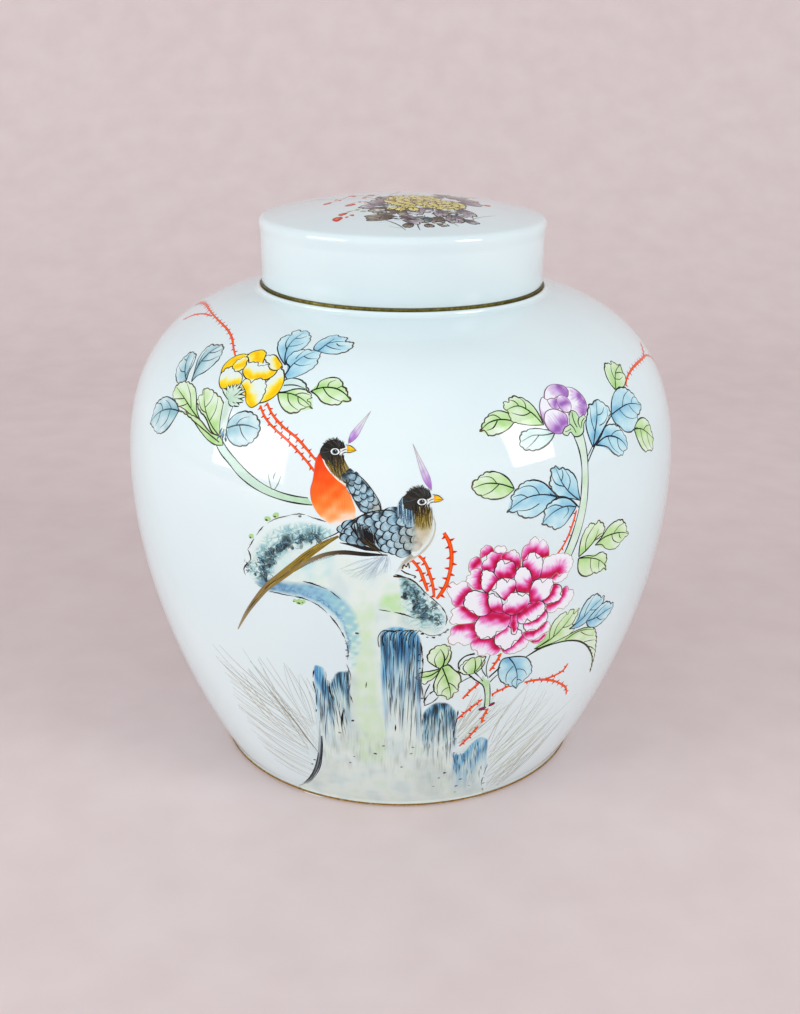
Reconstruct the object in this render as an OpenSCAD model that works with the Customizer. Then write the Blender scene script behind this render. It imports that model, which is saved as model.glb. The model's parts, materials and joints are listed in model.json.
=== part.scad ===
// Lidded ginger jar: a round porcelain body, a short neck and a cap lid that sits over the neck.
// +Z is up and the origin is the centre of the face that the foot ring stands on.

/* [Body] */
// Radius of the body at its widest
body_r = 101; // [97:1:105]
// Height of the widest point above the table
belly_z = 113; // [108:1:118]
// Height of the flat seat that the lid stands on
seat_z = 177.6; // [174:0.2:184]
// Thickness of the body's wall
wall = 5; // [4:0.5:6]

/* [Foot] */
// Radius of the foot
foot_r = 69; // [66:1:72]
// Height of the upright part of the foot
foot_h = 2; // [1.5:0.5:5]
// Radial width of the bare ring under the foot
foot_ring_w = 9; // [7:1:11]
// Height of the bare edge below the glaze
bare_edge = 0.6; // [0.5:0.1:1.4]
// Depth of the hollow under the base
foot_recess = 6; // [5:0.5:7]
// Thickness of the floor
floor_t = 6; // [5:0.5:8]

/* [Neck] */
// Radius of the mouth
mouth_r = 40; // [38:0.5:41]
// Thickness of the neck's wall
neck_wall = 4.4; // [4:0.1:4.6]
// Height of the neck above the seat
neck_h = 17; // [14:0.5:17]
// Height of the bare lip on top of the neck
lip_h = 1.5; // [1.2:0.1:2]

/* [Lid] */
// Radius of the lid at its rounded top edge
lid_r = 51.4; // [51.2:0.1:51.8]
// How far the lid's side is set in below its rounded edge
waist = 0.5; // [0.3:0.1:0.8]
// Height of the lid's side, up to its rounded edge
skirt_h = 21.9; // [20:0.1:23]
// Radius of the rounded edge of the lid
edge_round = 2.6; // [2.2:0.1:3]
// Rise of the domed top above the rounded edge
dome_rise = 6.2; // [5:0.2:7]
// Thickness of the lid
lid_wall = 5.2; // [5:0.1:5.6]
// Gap under the lid when it is closed
seat_gap = 0.1; // [0.05:0.05:0.3]

/* [Gilt lines] */
// Height of the gilt band around the bottom of the lid
band_h = 0.8; // [0.6:0.1:1.2]
// Thickness of the gilt band
band_t = 0.6; // [0.4:0.1:0.8]
// Height of the gilt line around the foot
foot_line_h = 0.6; // [0.5:0.1:1.2]
// Width of the gilt ring on the seat, outside the lid
seat_line_w = 0.6; // [0.4:0.1:1.2]
// Depth to which the lines on the jar are let into it
line_depth = 0.3; // [0.2:0.1:0.4]

/* [Hidden] */

$fn = 96;
steps = 18;                       // straight pieces in each half of the body's outline
arc_steps = 6;                    // straight pieces in each small rounding

line_proud = 0.05;                // how far a gilt line stands proud of the glaze
turn_gap = 0.05;                  // running gap between the lid and its gilt band

neck_r = mouth_r + neck_wall;
neck_top = seat_z + neck_h;
floor_top = foot_recess + floor_t;
side_r = lid_r - waist;            // radius of the lid's side
seat_edge_r = side_r + seat_line_w + 1.1;
seat_step = 1.2;                  // how far the seat stands above the shoulder
seat_round = 0.8;                 // radius of the seat's outer edge

lid_bottom = seat_z + seat_gap;
rim_top = lid_bottom + band_h;
lid_in_r = side_r - lid_wall;
lid_edge_z = lid_bottom + skirt_h;
crown_bottom = lid_edge_z - 4;    // where the crown is joined to the side
dome_r0 = lid_r - edge_round * (1 - cos(70));
dome_z0 = lid_edge_z + edge_round * sin(70);

// ---- Outline of the body ----

function bezier(p, t) =
    pow(1 - t, 3) * p[0] + 3 * t * pow(1 - t, 2) * p[1] + 3 * t * t * (1 - t) * p[2] + pow(t, 3) * p[3];

function bezier_slope(p, t) =
    3 * pow(1 - t, 2) * (p[1] - p[0]) + 6 * t * (1 - t) * (p[2] - p[1]) + 3 * t * t * (p[3] - p[2]);

// A point on the curve, moved towards the inside of the jar by d.
function inset_point(p, t, d) =
    let (s = bezier_slope(p, t), n = [-s[1], s[0]] / norm(s))
    bezier(p, t) + d * n;

function curve(p, d = 0) = [for (i = [0:steps]) inset_point(p, i / steps, d)];

function reversed(list) = [for (i = [len(list) - 1:-1:0]) list[i]];

function arc(centre, r, from, to) =
    [for (i = [0:arc_steps])
        let (a = from + (to - from) * i / arc_steps)
        centre + r * [cos(a), sin(a)]];

// The belly curve rises from the foot to the widest point, and the shoulder curve goes on to the seat.
belly = [
    [foot_r, foot_h], [foot_r + 8.5, foot_h + 14], [body_r, belly_z - 50], [body_r, belly_z]
];
shoulder = [
    [body_r, belly_z], [body_r, belly_z + 28.5], [body_r - 9, seat_z - 8.5], [seat_edge_r, seat_z - seat_step]
];

// ---- Jar ----

module lower_body() {
    color("aliceblue")
    rotate_extrude()
    difference() {
        polygon(concat(
            [[foot_r - wall, bare_edge], [foot_r, bare_edge]],
            curve(belly),
            reversed([for (q = curve(belly, wall)) if (q[1] > floor_top + 3) q]),
            [[foot_r - wall + 0.6, floor_top + 0.8], [foot_r - wall, floor_top]]
        ));
        translate([foot_r - line_depth, bare_edge])
            square([wall, foot_line_h]);
    }
}

module upper_body() {
    color("aliceblue")
    rotate_extrude()
    difference() {
        polygon(concat(
            curve(shoulder),
            arc([seat_edge_r - seat_round, seat_z - seat_round], seat_round, 0, 90),
            [[neck_r, seat_z], [neck_r, seat_z - wall]],
            reversed([for (q = curve(shoulder, wall)) if (q[0] > neck_r + 2) q])
        ));
        translate([side_r - 1, seat_z - line_depth])
            square([seat_line_w + 1, wall]);
    }
}

module jar_floor() {
    color("aliceblue")
    translate([0, 0, foot_recess])
        cylinder(r = foot_r - wall, h = floor_t);
}

module foot_ring() {
    inner_r = foot_r - foot_ring_w;
    color("wheat")
    rotate_extrude()
        polygon([
            [inner_r + 0.8, 0], [foot_r - 0.5, 0], [foot_r, 0.4], [foot_r, bare_edge],
            [foot_r - wall, bare_edge], [foot_r - wall, foot_recess], [inner_r, foot_recess], [inner_r, 0.8]
        ]);
}

module neck_collar() {
    color("aliceblue")
    rotate_extrude()
        polygon([
            [mouth_r, seat_z - wall], [neck_r, seat_z - wall],
            [neck_r, neck_top - lip_h], [mouth_r, neck_top - lip_h]
        ]);
}

module neck_lip() {
    r = neck_wall / 2 - 1;
    color("wheat")
    rotate_extrude()
        polygon(concat(
            [[mouth_r, neck_top - lip_h], [neck_r, neck_top - lip_h]],
            arc([neck_r - r, neck_top - r], r, 0, 90),
            arc([mouth_r + r, neck_top - r], r, 90, 180)
        ));
}

module foot_gilt_line() {
    color("darkgoldenrod")
    translate([0, 0, bare_edge])
    rotate_extrude()
        translate([foot_r - line_depth, 0])
            square([line_depth + line_proud, foot_line_h]);
}

module seat_gilt_ring() {
    color("darkgoldenrod")
    rotate_extrude()
        translate([side_r - 1, seat_z - line_depth])
            square([seat_line_w + 1, line_depth + line_proud]);
}

// ---- Lid ----

module lid_crown() {
    dome_big_r = (dome_r0 * dome_r0 + dome_rise * dome_rise) / (2 * dome_rise);
    top = dome_z0 + dome_rise;
    edge_centre = [lid_r - edge_round, lid_edge_z];
    dome = [for (i = [0:steps])
        let (r = dome_r0 * (1 - i / steps))
        [r, top - dome_big_r + sqrt(dome_big_r * dome_big_r - r * r)]];
    ceiling = [for (q = dome) if (q[0] < lid_in_r - 4) [q[0], q[1] - lid_wall]];
    color("aliceblue")
    rotate_extrude()
        polygon(concat(
            [[lid_in_r, crown_bottom], [side_r, crown_bottom]],
            [for (i = [1:arc_steps])
                let (t = i / arc_steps)
                [side_r + waist * t * t * (3 - 2 * t), crown_bottom + (lid_edge_z - crown_bottom) * t]],
            [for (i = [1:arc_steps])
                edge_centre + edge_round * [cos(70 * i / arc_steps), sin(70 * i / arc_steps)]],
            [for (i = [1:steps]) dome[i]],
            reversed(ceiling),
            [[lid_in_r - 3, lid_edge_z - 0.6], [lid_in_r - 0.8, lid_edge_z - 1.6]]
        ));
}

module lid_skirt() {
    rebate_r = side_r - band_t - turn_gap;
    low = rim_top + turn_gap;
    color("aliceblue")
    rotate_extrude()
        polygon([
            [lid_in_r, rim_top], [rebate_r, rim_top], [rebate_r, low], [side_r - 0.3, low], [side_r, low + 0.4],
            [side_r, crown_bottom], [lid_in_r, crown_bottom]
        ]);
}

module lid_rim() {
    color("wheat")
    rotate_extrude()
        polygon([
            [lid_in_r + 0.6, lid_bottom], [side_r - band_t - turn_gap, lid_bottom],
            [side_r - band_t - turn_gap, rim_top], [lid_in_r, rim_top], [lid_in_r, lid_bottom + 0.6]
        ]);
}

module lid_gilt_band() {
    color("darkgoldenrod")
    translate([0, 0, lid_bottom])
    rotate_extrude()
        translate([side_r - band_t, 0])
            square([band_t, band_h]);
}

lower_body();
upper_body();
jar_floor();
foot_ring();
neck_collar();
neck_lip();
foot_gilt_line();
seat_gilt_ring();
lid_crown();
lid_skirt();
lid_rim();
lid_gilt_band();
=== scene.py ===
"""Lidded porcelain ginger jar: glaze, gilt, enamel painting, light and camera, built around the CAD frame."""

import json
import math
import random

import bmesh
import bpy
import numpy as np
from mathutils import Matrix, Vector
from mathutils.geometry import delaunay_2d_cdt


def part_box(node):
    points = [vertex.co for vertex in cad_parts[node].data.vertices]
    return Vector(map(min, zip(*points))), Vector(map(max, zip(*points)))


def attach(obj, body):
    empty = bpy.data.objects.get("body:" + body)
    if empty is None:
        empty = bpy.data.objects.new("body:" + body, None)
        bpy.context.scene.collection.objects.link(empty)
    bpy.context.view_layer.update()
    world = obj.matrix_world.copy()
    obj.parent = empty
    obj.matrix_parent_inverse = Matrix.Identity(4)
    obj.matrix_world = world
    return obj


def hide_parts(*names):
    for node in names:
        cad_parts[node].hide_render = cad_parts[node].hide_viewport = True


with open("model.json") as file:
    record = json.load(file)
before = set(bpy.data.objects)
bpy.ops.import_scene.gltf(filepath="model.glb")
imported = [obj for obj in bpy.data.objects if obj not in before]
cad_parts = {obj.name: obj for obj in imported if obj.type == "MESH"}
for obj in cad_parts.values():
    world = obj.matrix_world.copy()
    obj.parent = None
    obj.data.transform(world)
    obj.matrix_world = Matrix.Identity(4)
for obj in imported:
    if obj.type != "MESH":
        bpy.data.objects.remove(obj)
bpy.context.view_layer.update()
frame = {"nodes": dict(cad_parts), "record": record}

MM = 0.001
JAR = "jar"
LID = "lid"


# ---------------------------------------------------------------- sizes and outlines, in mm

BELLY_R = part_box("upper_body")[1].x / MM
BELLY_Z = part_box("lower_body")[1].z / MM
SEAT_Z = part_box("upper_body")[1].z / MM
FOOT_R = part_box("foot_ring")[1].x / MM
BARE_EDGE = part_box("lower_body")[0].z / MM
FLOOR_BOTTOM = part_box("jar_floor")[0].z / MM
FLOOR_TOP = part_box("jar_floor")[1].z / MM
FLOOR_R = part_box("jar_floor")[1].x / MM
NECK_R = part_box("neck_collar")[1].x / MM
NECK_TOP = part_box("neck_collar")[1].z / MM
MOUTH_R = frame["record"]["mounts"][1]["dims"]["r_mm"]
LID_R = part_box("lid_crown")[1].x / MM
LID_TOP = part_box("lid_crown")[1].z / MM
CROWN_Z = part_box("lid_crown")[0].z / MM
RIM_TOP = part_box("lid_rim")[1].z / MM
WALL = FOOT_R - FLOOR_R

FOOT_H = 2.0
SEAT_STEP = 1.2
SEAT_ROUND = 0.8
SEAT_WIDTH = 1.7
NECK_ROOT_ROUND = 0.7
SHOULDER_INSIDE_ROUND = 2.5
FLOOR_ROUND = 3.5
# the floor's rounded corner reaches this far in from the wall
FLOOR_CORNER = 3
# the inside of the wall is drawn this far from the floor and from the mouth's bore, and rounds join them
FLOOR_GAP = 6
MOUTH_GAP = 4

LID_WAIST = 0.5
LID_WALL = 5.2
SIDE_R = LID_R - LID_WAIST
SEAT_EDGE_R = SIDE_R + SEAT_WIDTH
LID_EDGE_Z = CROWN_Z + 4.0
LID_EDGE_ROUND = 2.6
LID_EDGE_TURN = 70
LID_INSIDE_ROUND = 3
LID_INSIDE_DROP = 3.6
LID_CEILING_GAP = 4
# the glazed side ends above the gilt band in a small step and a bevel
REBATE = 0.65
REBATE_STEP = 0.05
BEVEL_WIDTH = 0.3
BEVEL_TOP = 0.45

# the glaze lies this far inside the CAD surface, to leave room for the enamels
SKIN = 0.15

BELLY_CURVE = [(FOOT_R, FOOT_H), (FOOT_R + 8.5, FOOT_H + 14), (BELLY_R, BELLY_Z - 50), (BELLY_R, BELLY_Z)]
SHOULDER_CURVE = [
    (BELLY_R, BELLY_Z),
    (BELLY_R, BELLY_Z + 28.5),
    (BELLY_R - 9, SEAT_Z - 8.5),
    (SEAT_EDGE_R, SEAT_Z - SEAT_STEP),
]


def bezier(p, count):
    """Points along a cubic curve, from its four control points."""
    t = np.linspace(0, 1, count)[:, None]
    p = np.array(p, float)
    return (1 - t) ** 3 * p[0] + 3 * t * (1 - t) ** 2 * p[1] + 3 * t * t * (1 - t) * p[2] + t ** 3 * p[3]


def arc(centre, radius, start, end, count=6):
    """Points along an arc from one angle to another, in degrees."""
    a = np.radians(np.linspace(start, end, count))
    return np.column_stack([centre[0] + radius * np.cos(a), centre[1] + radius * np.sin(a)])


def inset(points, distance):
    """The same line, moved to its left by distance."""
    slope = np.gradient(points, axis=0)
    slope /= np.linalg.norm(slope, axis=1)[:, None]
    return points + distance * np.column_stack([-slope[:, 1], slope[:, 0]])


def outer_wall(count=90):
    """The outside of the jar's wall from its bare edge up to the seat, as radius and height."""
    belly = bezier(BELLY_CURVE, count)
    shoulder = bezier(SHOULDER_CURVE, count)
    return np.vstack([[(FOOT_R, BARE_EDGE)], belly, shoulder[1:]])


class Wall:
    """The jar's painted wall. A place is an angle in degrees, from the front towards +X, and a height
    measured along the outline from the foot, in mm."""

    def __init__(self):
        line = inset(np.vstack([[(FOOT_R, 0)], outer_wall(200)[1:]]), SKIN)
        step = np.linalg.norm(np.diff(line, axis=0), axis=1)
        self.height = np.concatenate([[0], np.cumsum(step)])
        self.line = line
        slope = np.gradient(line, axis=0)
        slope /= np.linalg.norm(slope, axis=1)[:, None]
        self.normal = np.column_stack([slope[:, 1], -slope[:, 0]])

    def radius(self, height):
        return np.interp(height, self.height, self.line[:, 0])

    def point(self, angle, height, lift):
        """Angles in radians, lift in mm above the glaze; gives points in metres."""
        r = np.interp(height, self.height, self.line[:, 0])
        z = np.interp(height, self.height, self.line[:, 1])
        nr = np.interp(height, self.height, self.normal[:, 0])
        nz = np.interp(height, self.height, self.normal[:, 1])
        r = r + nr * lift
        z = z + nz * lift
        return np.column_stack([r * np.sin(angle), -r * np.cos(angle), z]) * MM

    def place(self, angle, height):
        """A flat sheet laid on the wall there: x runs round the jar and y up its outline, in mm."""

        def lay(xy, lift):
            h = height + xy[:, 1]
            return self.point(math.radians(angle) + xy[:, 0] / self.radius(h), h, lift)

        return lay


WALL_SURFACE = Wall()


def dome_line(count=24):
    """The lid's top from its rounded edge to the centre, as radius and height."""
    turn = math.radians(LID_EDGE_TURN)
    r0 = LID_R - LID_EDGE_ROUND * (1 - math.cos(turn))
    z0 = LID_EDGE_Z + LID_EDGE_ROUND * math.sin(turn)
    rise = LID_TOP - z0
    big_r = (r0 * r0 + rise * rise) / (2 * rise)
    r = np.linspace(r0, 0, count)
    return np.column_stack([r, LID_TOP - big_r + np.sqrt(big_r ** 2 - r ** 2)])


def lid_sheet(xy, lift):
    """A flat sheet laid on the lid's dome: x to the right and y to the back, in mm from the centre."""
    line = dome_line(60)[::-1]
    r = np.hypot(xy[:, 0], xy[:, 1])
    z = np.interp(r, line[:, 0], line[:, 1]) - SKIN + lift
    return np.column_stack([xy[:, 0], xy[:, 1], z]) * MM


# ---------------------------------------------------------------- materials


def node(tree, kind, **inputs):
    """A new node with these input values. An underscore in an input's name stands for a space."""
    n = tree.nodes.new(kind)
    for key, value in inputs.items():
        n.inputs[key.replace("_", " ")].default_value = value
    return n


def new_material(name, **settings):
    """A material with these shader values, its node tree and the shader."""
    mat = bpy.data.materials.new(name)
    mat.use_nodes = True
    shader = mat.node_tree.nodes["Principled BSDF"]
    for key, value in settings.items():
        shader.inputs[key.replace("_", " ")].default_value = value
    return mat, mat.node_tree, shader


def noise(tree, scale, detail=3.0, roughness=0.5):
    """Solid noise; scale is in features per metre."""
    where = tree.nodes.new("ShaderNodeTexCoord")
    n = node(tree, "ShaderNodeTexNoise", Scale=scale, Detail=detail, Roughness=roughness)
    tree.links.new(where.outputs["Object"], n.inputs["Vector"])
    return n.outputs["Fac"]


def ramp(tree, value, stops):
    """A colour from a value, by (position, colour) stops."""
    n = tree.nodes.new("ShaderNodeValToRGB")
    elements = n.color_ramp.elements
    while len(elements) < len(stops):
        elements.new(0.5)
    for element, (position, colour) in zip(elements, stops):
        element.position = position
        element.color = colour
    tree.links.new(value, n.inputs["Fac"])
    return n.outputs["Color"]


def bump(tree, shader, value, strength, distance):
    """Relief from a value; distance is its depth in metres."""
    n = node(tree, "ShaderNodeBump", Strength=strength, Distance=distance)
    tree.links.new(value, n.inputs["Height"])
    tree.links.new(n.outputs["Normal"], shader.inputs["Normal"])


def srgb(r, g, b, a=1.0):
    """A colour as the eye reads it, 0 to 255, made linear."""
    lin = [c / 12.92 if c <= 0.04045 else ((c + 0.055) / 1.055) ** 2.4 for c in (r / 255, g / 255, b / 255)]
    return (*lin, a)


GLAZE_COOL = srgb(216, 232, 235)
GLAZE_PALE = srgb(223, 237, 239)


def glaze_material(name, painted):
    """Porcelain glaze. On painted pieces the colour attribute 'paint' lies over it, as thick as its alpha."""
    mat, tree, shader = new_material(
        name, Roughness=0.06, IOR=1.5, Specular_IOR_Level=0.2 if painted else 0.5
    )
    glaze = ramp(tree, noise(tree, 14.0, 2.0), [(0.35, GLAZE_COOL), (0.65, GLAZE_PALE)])
    if painted:
        paint = tree.nodes.new("ShaderNodeAttribute")
        paint.attribute_name = "paint"
        wash = tree.nodes.new("ShaderNodeMix")
        wash.data_type = "RGBA"
        tree.links.new(paint.outputs["Alpha"], wash.inputs["Factor"])
        tree.links.new(glaze, wash.inputs["A"])
        tree.links.new(paint.outputs["Color"], wash.inputs["B"])
        tree.links.new(wash.outputs["Result"], shader.inputs["Base Color"])
    else:
        tree.links.new(glaze, shader.inputs["Base Color"])
    bump(tree, shader, noise(tree, 90.0, 1.5), 0.05, 0.0015)
    return mat


GLAZE = glaze_material("porcelain_glaze", False)
ENAMEL = glaze_material("enamel_on_glaze", True)


def gilt_material(name, dark, middle, bright):
    """Thin worn gilding in three tones."""
    mat, tree, shader = new_material(name, Metallic=0.9, Roughness=0.4)
    worn = noise(tree, 900.0, 4.0, 0.6)
    colour = ramp(tree, worn, [(0.3, dark), (0.5, middle), (0.75, bright)])
    tree.links.new(colour, shader.inputs["Base Color"])
    bump(tree, shader, worn, 0.3, 0.0001)
    return mat


def biscuit_and_shade_material():
    """Bare fired clay, where the jar was left without glaze; its tone is partly the clay's own and partly
    painted shade for the foot's edge by the floor.
    """
    mat, tree, shader = new_material("bare_biscuit_painted_shade", Roughness=0.85)
    grain = noise(tree, 1500.0, 6.0, 0.65)
    colour = ramp(
        tree, grain, [(0.3, srgb(184, 166, 142)), (0.6, srgb(204, 190, 168)), (0.8, srgb(216, 204, 184))]
    )
    tree.links.new(colour, shader.inputs["Base Color"])
    bump(tree, shader, grain, 0.4, 0.0002)
    return mat


GILT = gilt_material("gilt", srgb(78, 68, 24), srgb(108, 100, 44), srgb(150, 142, 78))
FOOT_GILT = gilt_material("foot_gilt", srgb(120, 88, 30), srgb(164, 124, 56), srgb(200, 164, 96))
BISCUIT_AND_SHADE = biscuit_and_shade_material()


def give(obj, mat):
    obj.data.materials.clear()
    obj.data.materials.append(mat)


def add_object(name, data):
    obj = bpy.data.objects.new(name, data)
    bpy.context.scene.collection.objects.link(obj)
    return obj


for name in ("seat_gilt_ring", "lid_gilt_band"):
    give(frame["nodes"][name], GILT)
give(frame["nodes"]["foot_gilt_line"], FOOT_GILT)
# the bare clay's darker tone is partly painted shade where the foot meets the floor
for name in ("foot_ring", "neck_lip", "lid_rim"):
    give(frame["nodes"][name], BISCUIT_AND_SHADE)


# ---------------------------------------------------------------- turned porcelain

TURNED_SIDES = 256
SHARP_EDGE = math.radians(35)
ON_AXIS = 1e-6


def turned(name, line, mat, body, nodes):
    """A closed solid of revolution from an outline that starts and ends on the axis."""
    mesh = bmesh.new()
    angles = np.linspace(0, 2 * math.pi, TURNED_SIDES, endpoint=False)
    rings = []
    for r, z in line:
        if r < ON_AXIS:
            rings.append([mesh.verts.new((0, 0, z * MM))] * TURNED_SIDES)
        else:
            rings.append(
                [mesh.verts.new((r * MM * math.cos(a), r * MM * math.sin(a), z * MM)) for a in angles]
            )
    for low, high in zip(rings, rings[1:]):
        for i in range(TURNED_SIDES):
            j = (i + 1) % TURNED_SIDES
            corners = list(dict.fromkeys((low[i], low[j], high[j], high[i])))
            mesh.faces.new(corners).smooth = True
    for edge in mesh.edges:
        if edge.calc_face_angle(0) > SHARP_EDGE:
            edge.smooth = False
    data = bpy.data.meshes.new(name)
    mesh.to_mesh(data)
    mesh.free()
    obj = add_object(name, data)
    give(obj, mat)
    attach(obj, body)
    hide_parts(*nodes)


def jar_outline():
    """The jar's section, from the middle of its underside, over the mouth, to the middle of its floor."""
    outer = inset(outer_wall(), SKIN)
    inner = inset(outer_wall(40)[1:], WALL)[::-1]
    inner = inner[(inner[:, 1] > FLOOR_TOP + FLOOR_GAP) & (inner[:, 0] > MOUTH_R + MOUTH_GAP)]
    neck_root = (NECK_R + NECK_ROOT_ROUND, SEAT_Z + NECK_ROOT_ROUND)
    under_neck = (MOUTH_R + SHOULDER_INSIDE_ROUND, SEAT_Z - WALL + SHOULDER_INSIDE_ROUND)
    floor_corner = (FLOOR_R - FLOOR_CORNER, FLOOR_TOP + FLOOR_ROUND)
    return np.vstack([
        [(0, FLOOR_BOTTOM), (FLOOR_R, FLOOR_BOTTOM), (FLOOR_R, BARE_EDGE)],
        outer,
        arc((SEAT_EDGE_R - SEAT_ROUND, SEAT_Z - SEAT_ROUND), SEAT_ROUND, 20, 90),
        arc(neck_root, NECK_ROOT_ROUND, 270, 180),
        [(NECK_R, NECK_TOP), (MOUTH_R, NECK_TOP)],
        arc(under_neck, SHOULDER_INSIDE_ROUND, 180, 250),
        inner,
        arc(floor_corner, FLOOR_ROUND, 0, -90),
        [(0, FLOOR_TOP)],
    ])


def lid_outline():
    """The lid's section, from the middle of its inside round the rim to the middle of its top."""
    inner_r = SIDE_R - LID_WALL
    rebate_r = SIDE_R - REBATE
    glaze_r = SIDE_R - SKIN
    t = np.linspace(0, 1, 12)
    ease = t * t * (3 - 2 * t)
    side = np.column_stack([glaze_r + LID_WAIST * ease, CROWN_Z + (LID_EDGE_Z - CROWN_Z) * t])
    edge = arc((LID_R - LID_EDGE_ROUND, LID_EDGE_Z), LID_EDGE_ROUND - SKIN, 0, LID_EDGE_TURN, 14)
    dome = dome_line(40)[1:] - (0, SKIN)
    ceiling = dome_line(24)[::-1] - (0, LID_WALL)
    ceiling = ceiling[ceiling[:, 0] < inner_r - LID_CEILING_GAP]
    inside_corner = (inner_r - LID_INSIDE_ROUND, LID_EDGE_Z - LID_INSIDE_DROP)
    return np.vstack([
        ceiling,
        arc(inside_corner, LID_INSIDE_ROUND, 90, 0),
        [(inner_r, RIM_TOP), (rebate_r, RIM_TOP), (rebate_r, RIM_TOP + REBATE_STEP)],
        [(glaze_r - BEVEL_WIDTH, RIM_TOP + REBATE_STEP), (glaze_r, RIM_TOP + BEVEL_TOP)],
        side,
        edge[1:],
        dome,
    ])


turned("jar_porcelain", jar_outline(), GLAZE, JAR, ("lower_body", "upper_body", "jar_floor", "neck_collar"))
turned("lid_porcelain", lid_outline(), GLAZE, LID, ("lid_crown", "lid_skirt"))


# ---------------------------------------------------------------- painting with enamel
#
# The painting is real relief: every wash and line is a thin raised shape laid on the glaze. Shapes are drawn
# in mm on a flat sheet, which WALL_SURFACE.place or lid_sheet lays on the porcelain. A layer is one step of
# height, so what is drawn in a higher layer covers what lies lower.

LAYER = 0.004
FIRST_LIFT = 0.012
# the sides of each shape go down into the glaze to this height
SUNK = -0.01
# the rows of points inside a wash lie this share of its spacing apart, and this far from its outline
GRID_ROW = 0.87
GRID_CLEAR = 0.45
# the foot of a stroke is this much wider than its top
STROKE_FOOT = 1.05
RELIEF_SHARP = math.radians(30)


def curve(points, spacing=0.5, closed=False):
    """A smooth line through points, sampled about every spacing. A point's third value makes it a corner."""
    corner = [len(p) > 2 for p in points]
    p = np.array([q[:2] for q in points], float)
    if closed:
        start = corner.index(True) if any(corner) else 0
        p = np.roll(p, -start, axis=0)
        corner = corner[start:] + corner[:start]
        p = np.vstack([p, p[:1]])
        corner.append(corner[0])
    step = np.diff(p, axis=0)
    length = np.linalg.norm(step, axis=1)
    slope = step / length[:, None]
    count = len(p)
    enter = np.empty_like(p)
    leave = np.empty_like(p)
    loop = closed and not corner[0]
    for i in range(count):
        before = (i - 1) if i > 0 else (count - 2 if loop else None)
        after = i if i < count - 1 else (0 if loop else None)
        if corner[i] or before is None or after is None:
            enter[i] = slope[before] if before is not None else slope[0]
            leave[i] = slope[after] if after is not None else slope[-1]
            continue
        share = length[before] / (length[before] + length[after])
        enter[i] = leave[i] = slope[before] * (1 - share) + slope[after] * share
    for i in range(count - 1):
        if corner[i] or (i == 0 and not loop):
            leave[i] = 1.5 * slope[i] - 0.5 * enter[i + 1]
        if corner[i + 1] or (i == count - 2 and not loop):
            enter[i + 1] = 1.5 * slope[i] - 0.5 * leave[i]
    out = []
    for i in range(count - 1):
        t = np.arange(max(1, math.ceil(length[i] / spacing)))[:, None]
        t = t / len(t)
        a = leave[i] * length[i]
        b = enter[i + 1] * length[i]
        out.append(p[i] + a * t + (3 * step[i] - 2 * a - b) * t ** 2 + (a + b - 2 * step[i]) * t ** 3)
    if not closed:
        out.append(p[-1:])
    return np.vstack(out)


def distance(xy, line):
    """How far each point is from a line of points."""
    line = np.atleast_2d(np.array([q[:2] for q in line], float))
    if len(line) == 1:
        return np.linalg.norm(xy - line[0], axis=1)
    a = line[:-1]
    d = line[1:] - a
    t = ((xy[:, None] - a) * d).sum(2) / np.maximum((d * d).sum(1), 1e-12)
    nearest = a + np.clip(t, 0, 1)[:, :, None] * d
    return np.linalg.norm(xy[:, None] - nearest, axis=2).min(1)


def inside(xy, outline):
    """Which of the points lie inside the outline."""
    x, y = xy[:, :1], xy[:, 1:]
    x1, y1 = outline[:, 0], outline[:, 1]
    x2, y2 = np.roll(x1, -1), np.roll(y1, -1)
    rise = np.where(y2 == y1, 1e-9, y2 - y1)
    crossed = ((y1 > y) != (y2 > y)) & (x < (x2 - x1) * (y - y1) / rise + x1)
    return crossed.sum(1) % 2 == 1


def mottle(xy, size, seed=0):
    """Soft random patches of about that size, from -1 to 1, the same each run."""
    draw = random.Random(seed)
    total = 0
    for _ in range(5):
        a = draw.uniform(0, math.pi)
        k = draw.uniform(0.7, 1.4) * math.pi / size
        total = total + np.sin(k * (xy[:, 0] * math.cos(a) + xy[:, 1] * math.sin(a)) + draw.uniform(0, 6.3))
    return total / 3


def tint(stops, t):
    """Colours for the values t, from (value, colour) stops."""
    where = [s[0] for s in stops]
    colours = np.array([s[1] for s in stops])
    return np.column_stack([np.interp(t, where, colours[:, i]) for i in range(4)])


def over(top, base):
    """One see-through colour laid over another."""
    cover = top[:, 3:] + base[:, 3:] * (1 - top[:, 3:])
    mixed = (top[:, :3] * top[:, 3:] + base[:, :3] * base[:, 3:] * (1 - top[:, 3:])) / np.maximum(cover, 1e-6)
    return np.hstack([mixed, cover])


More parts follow.
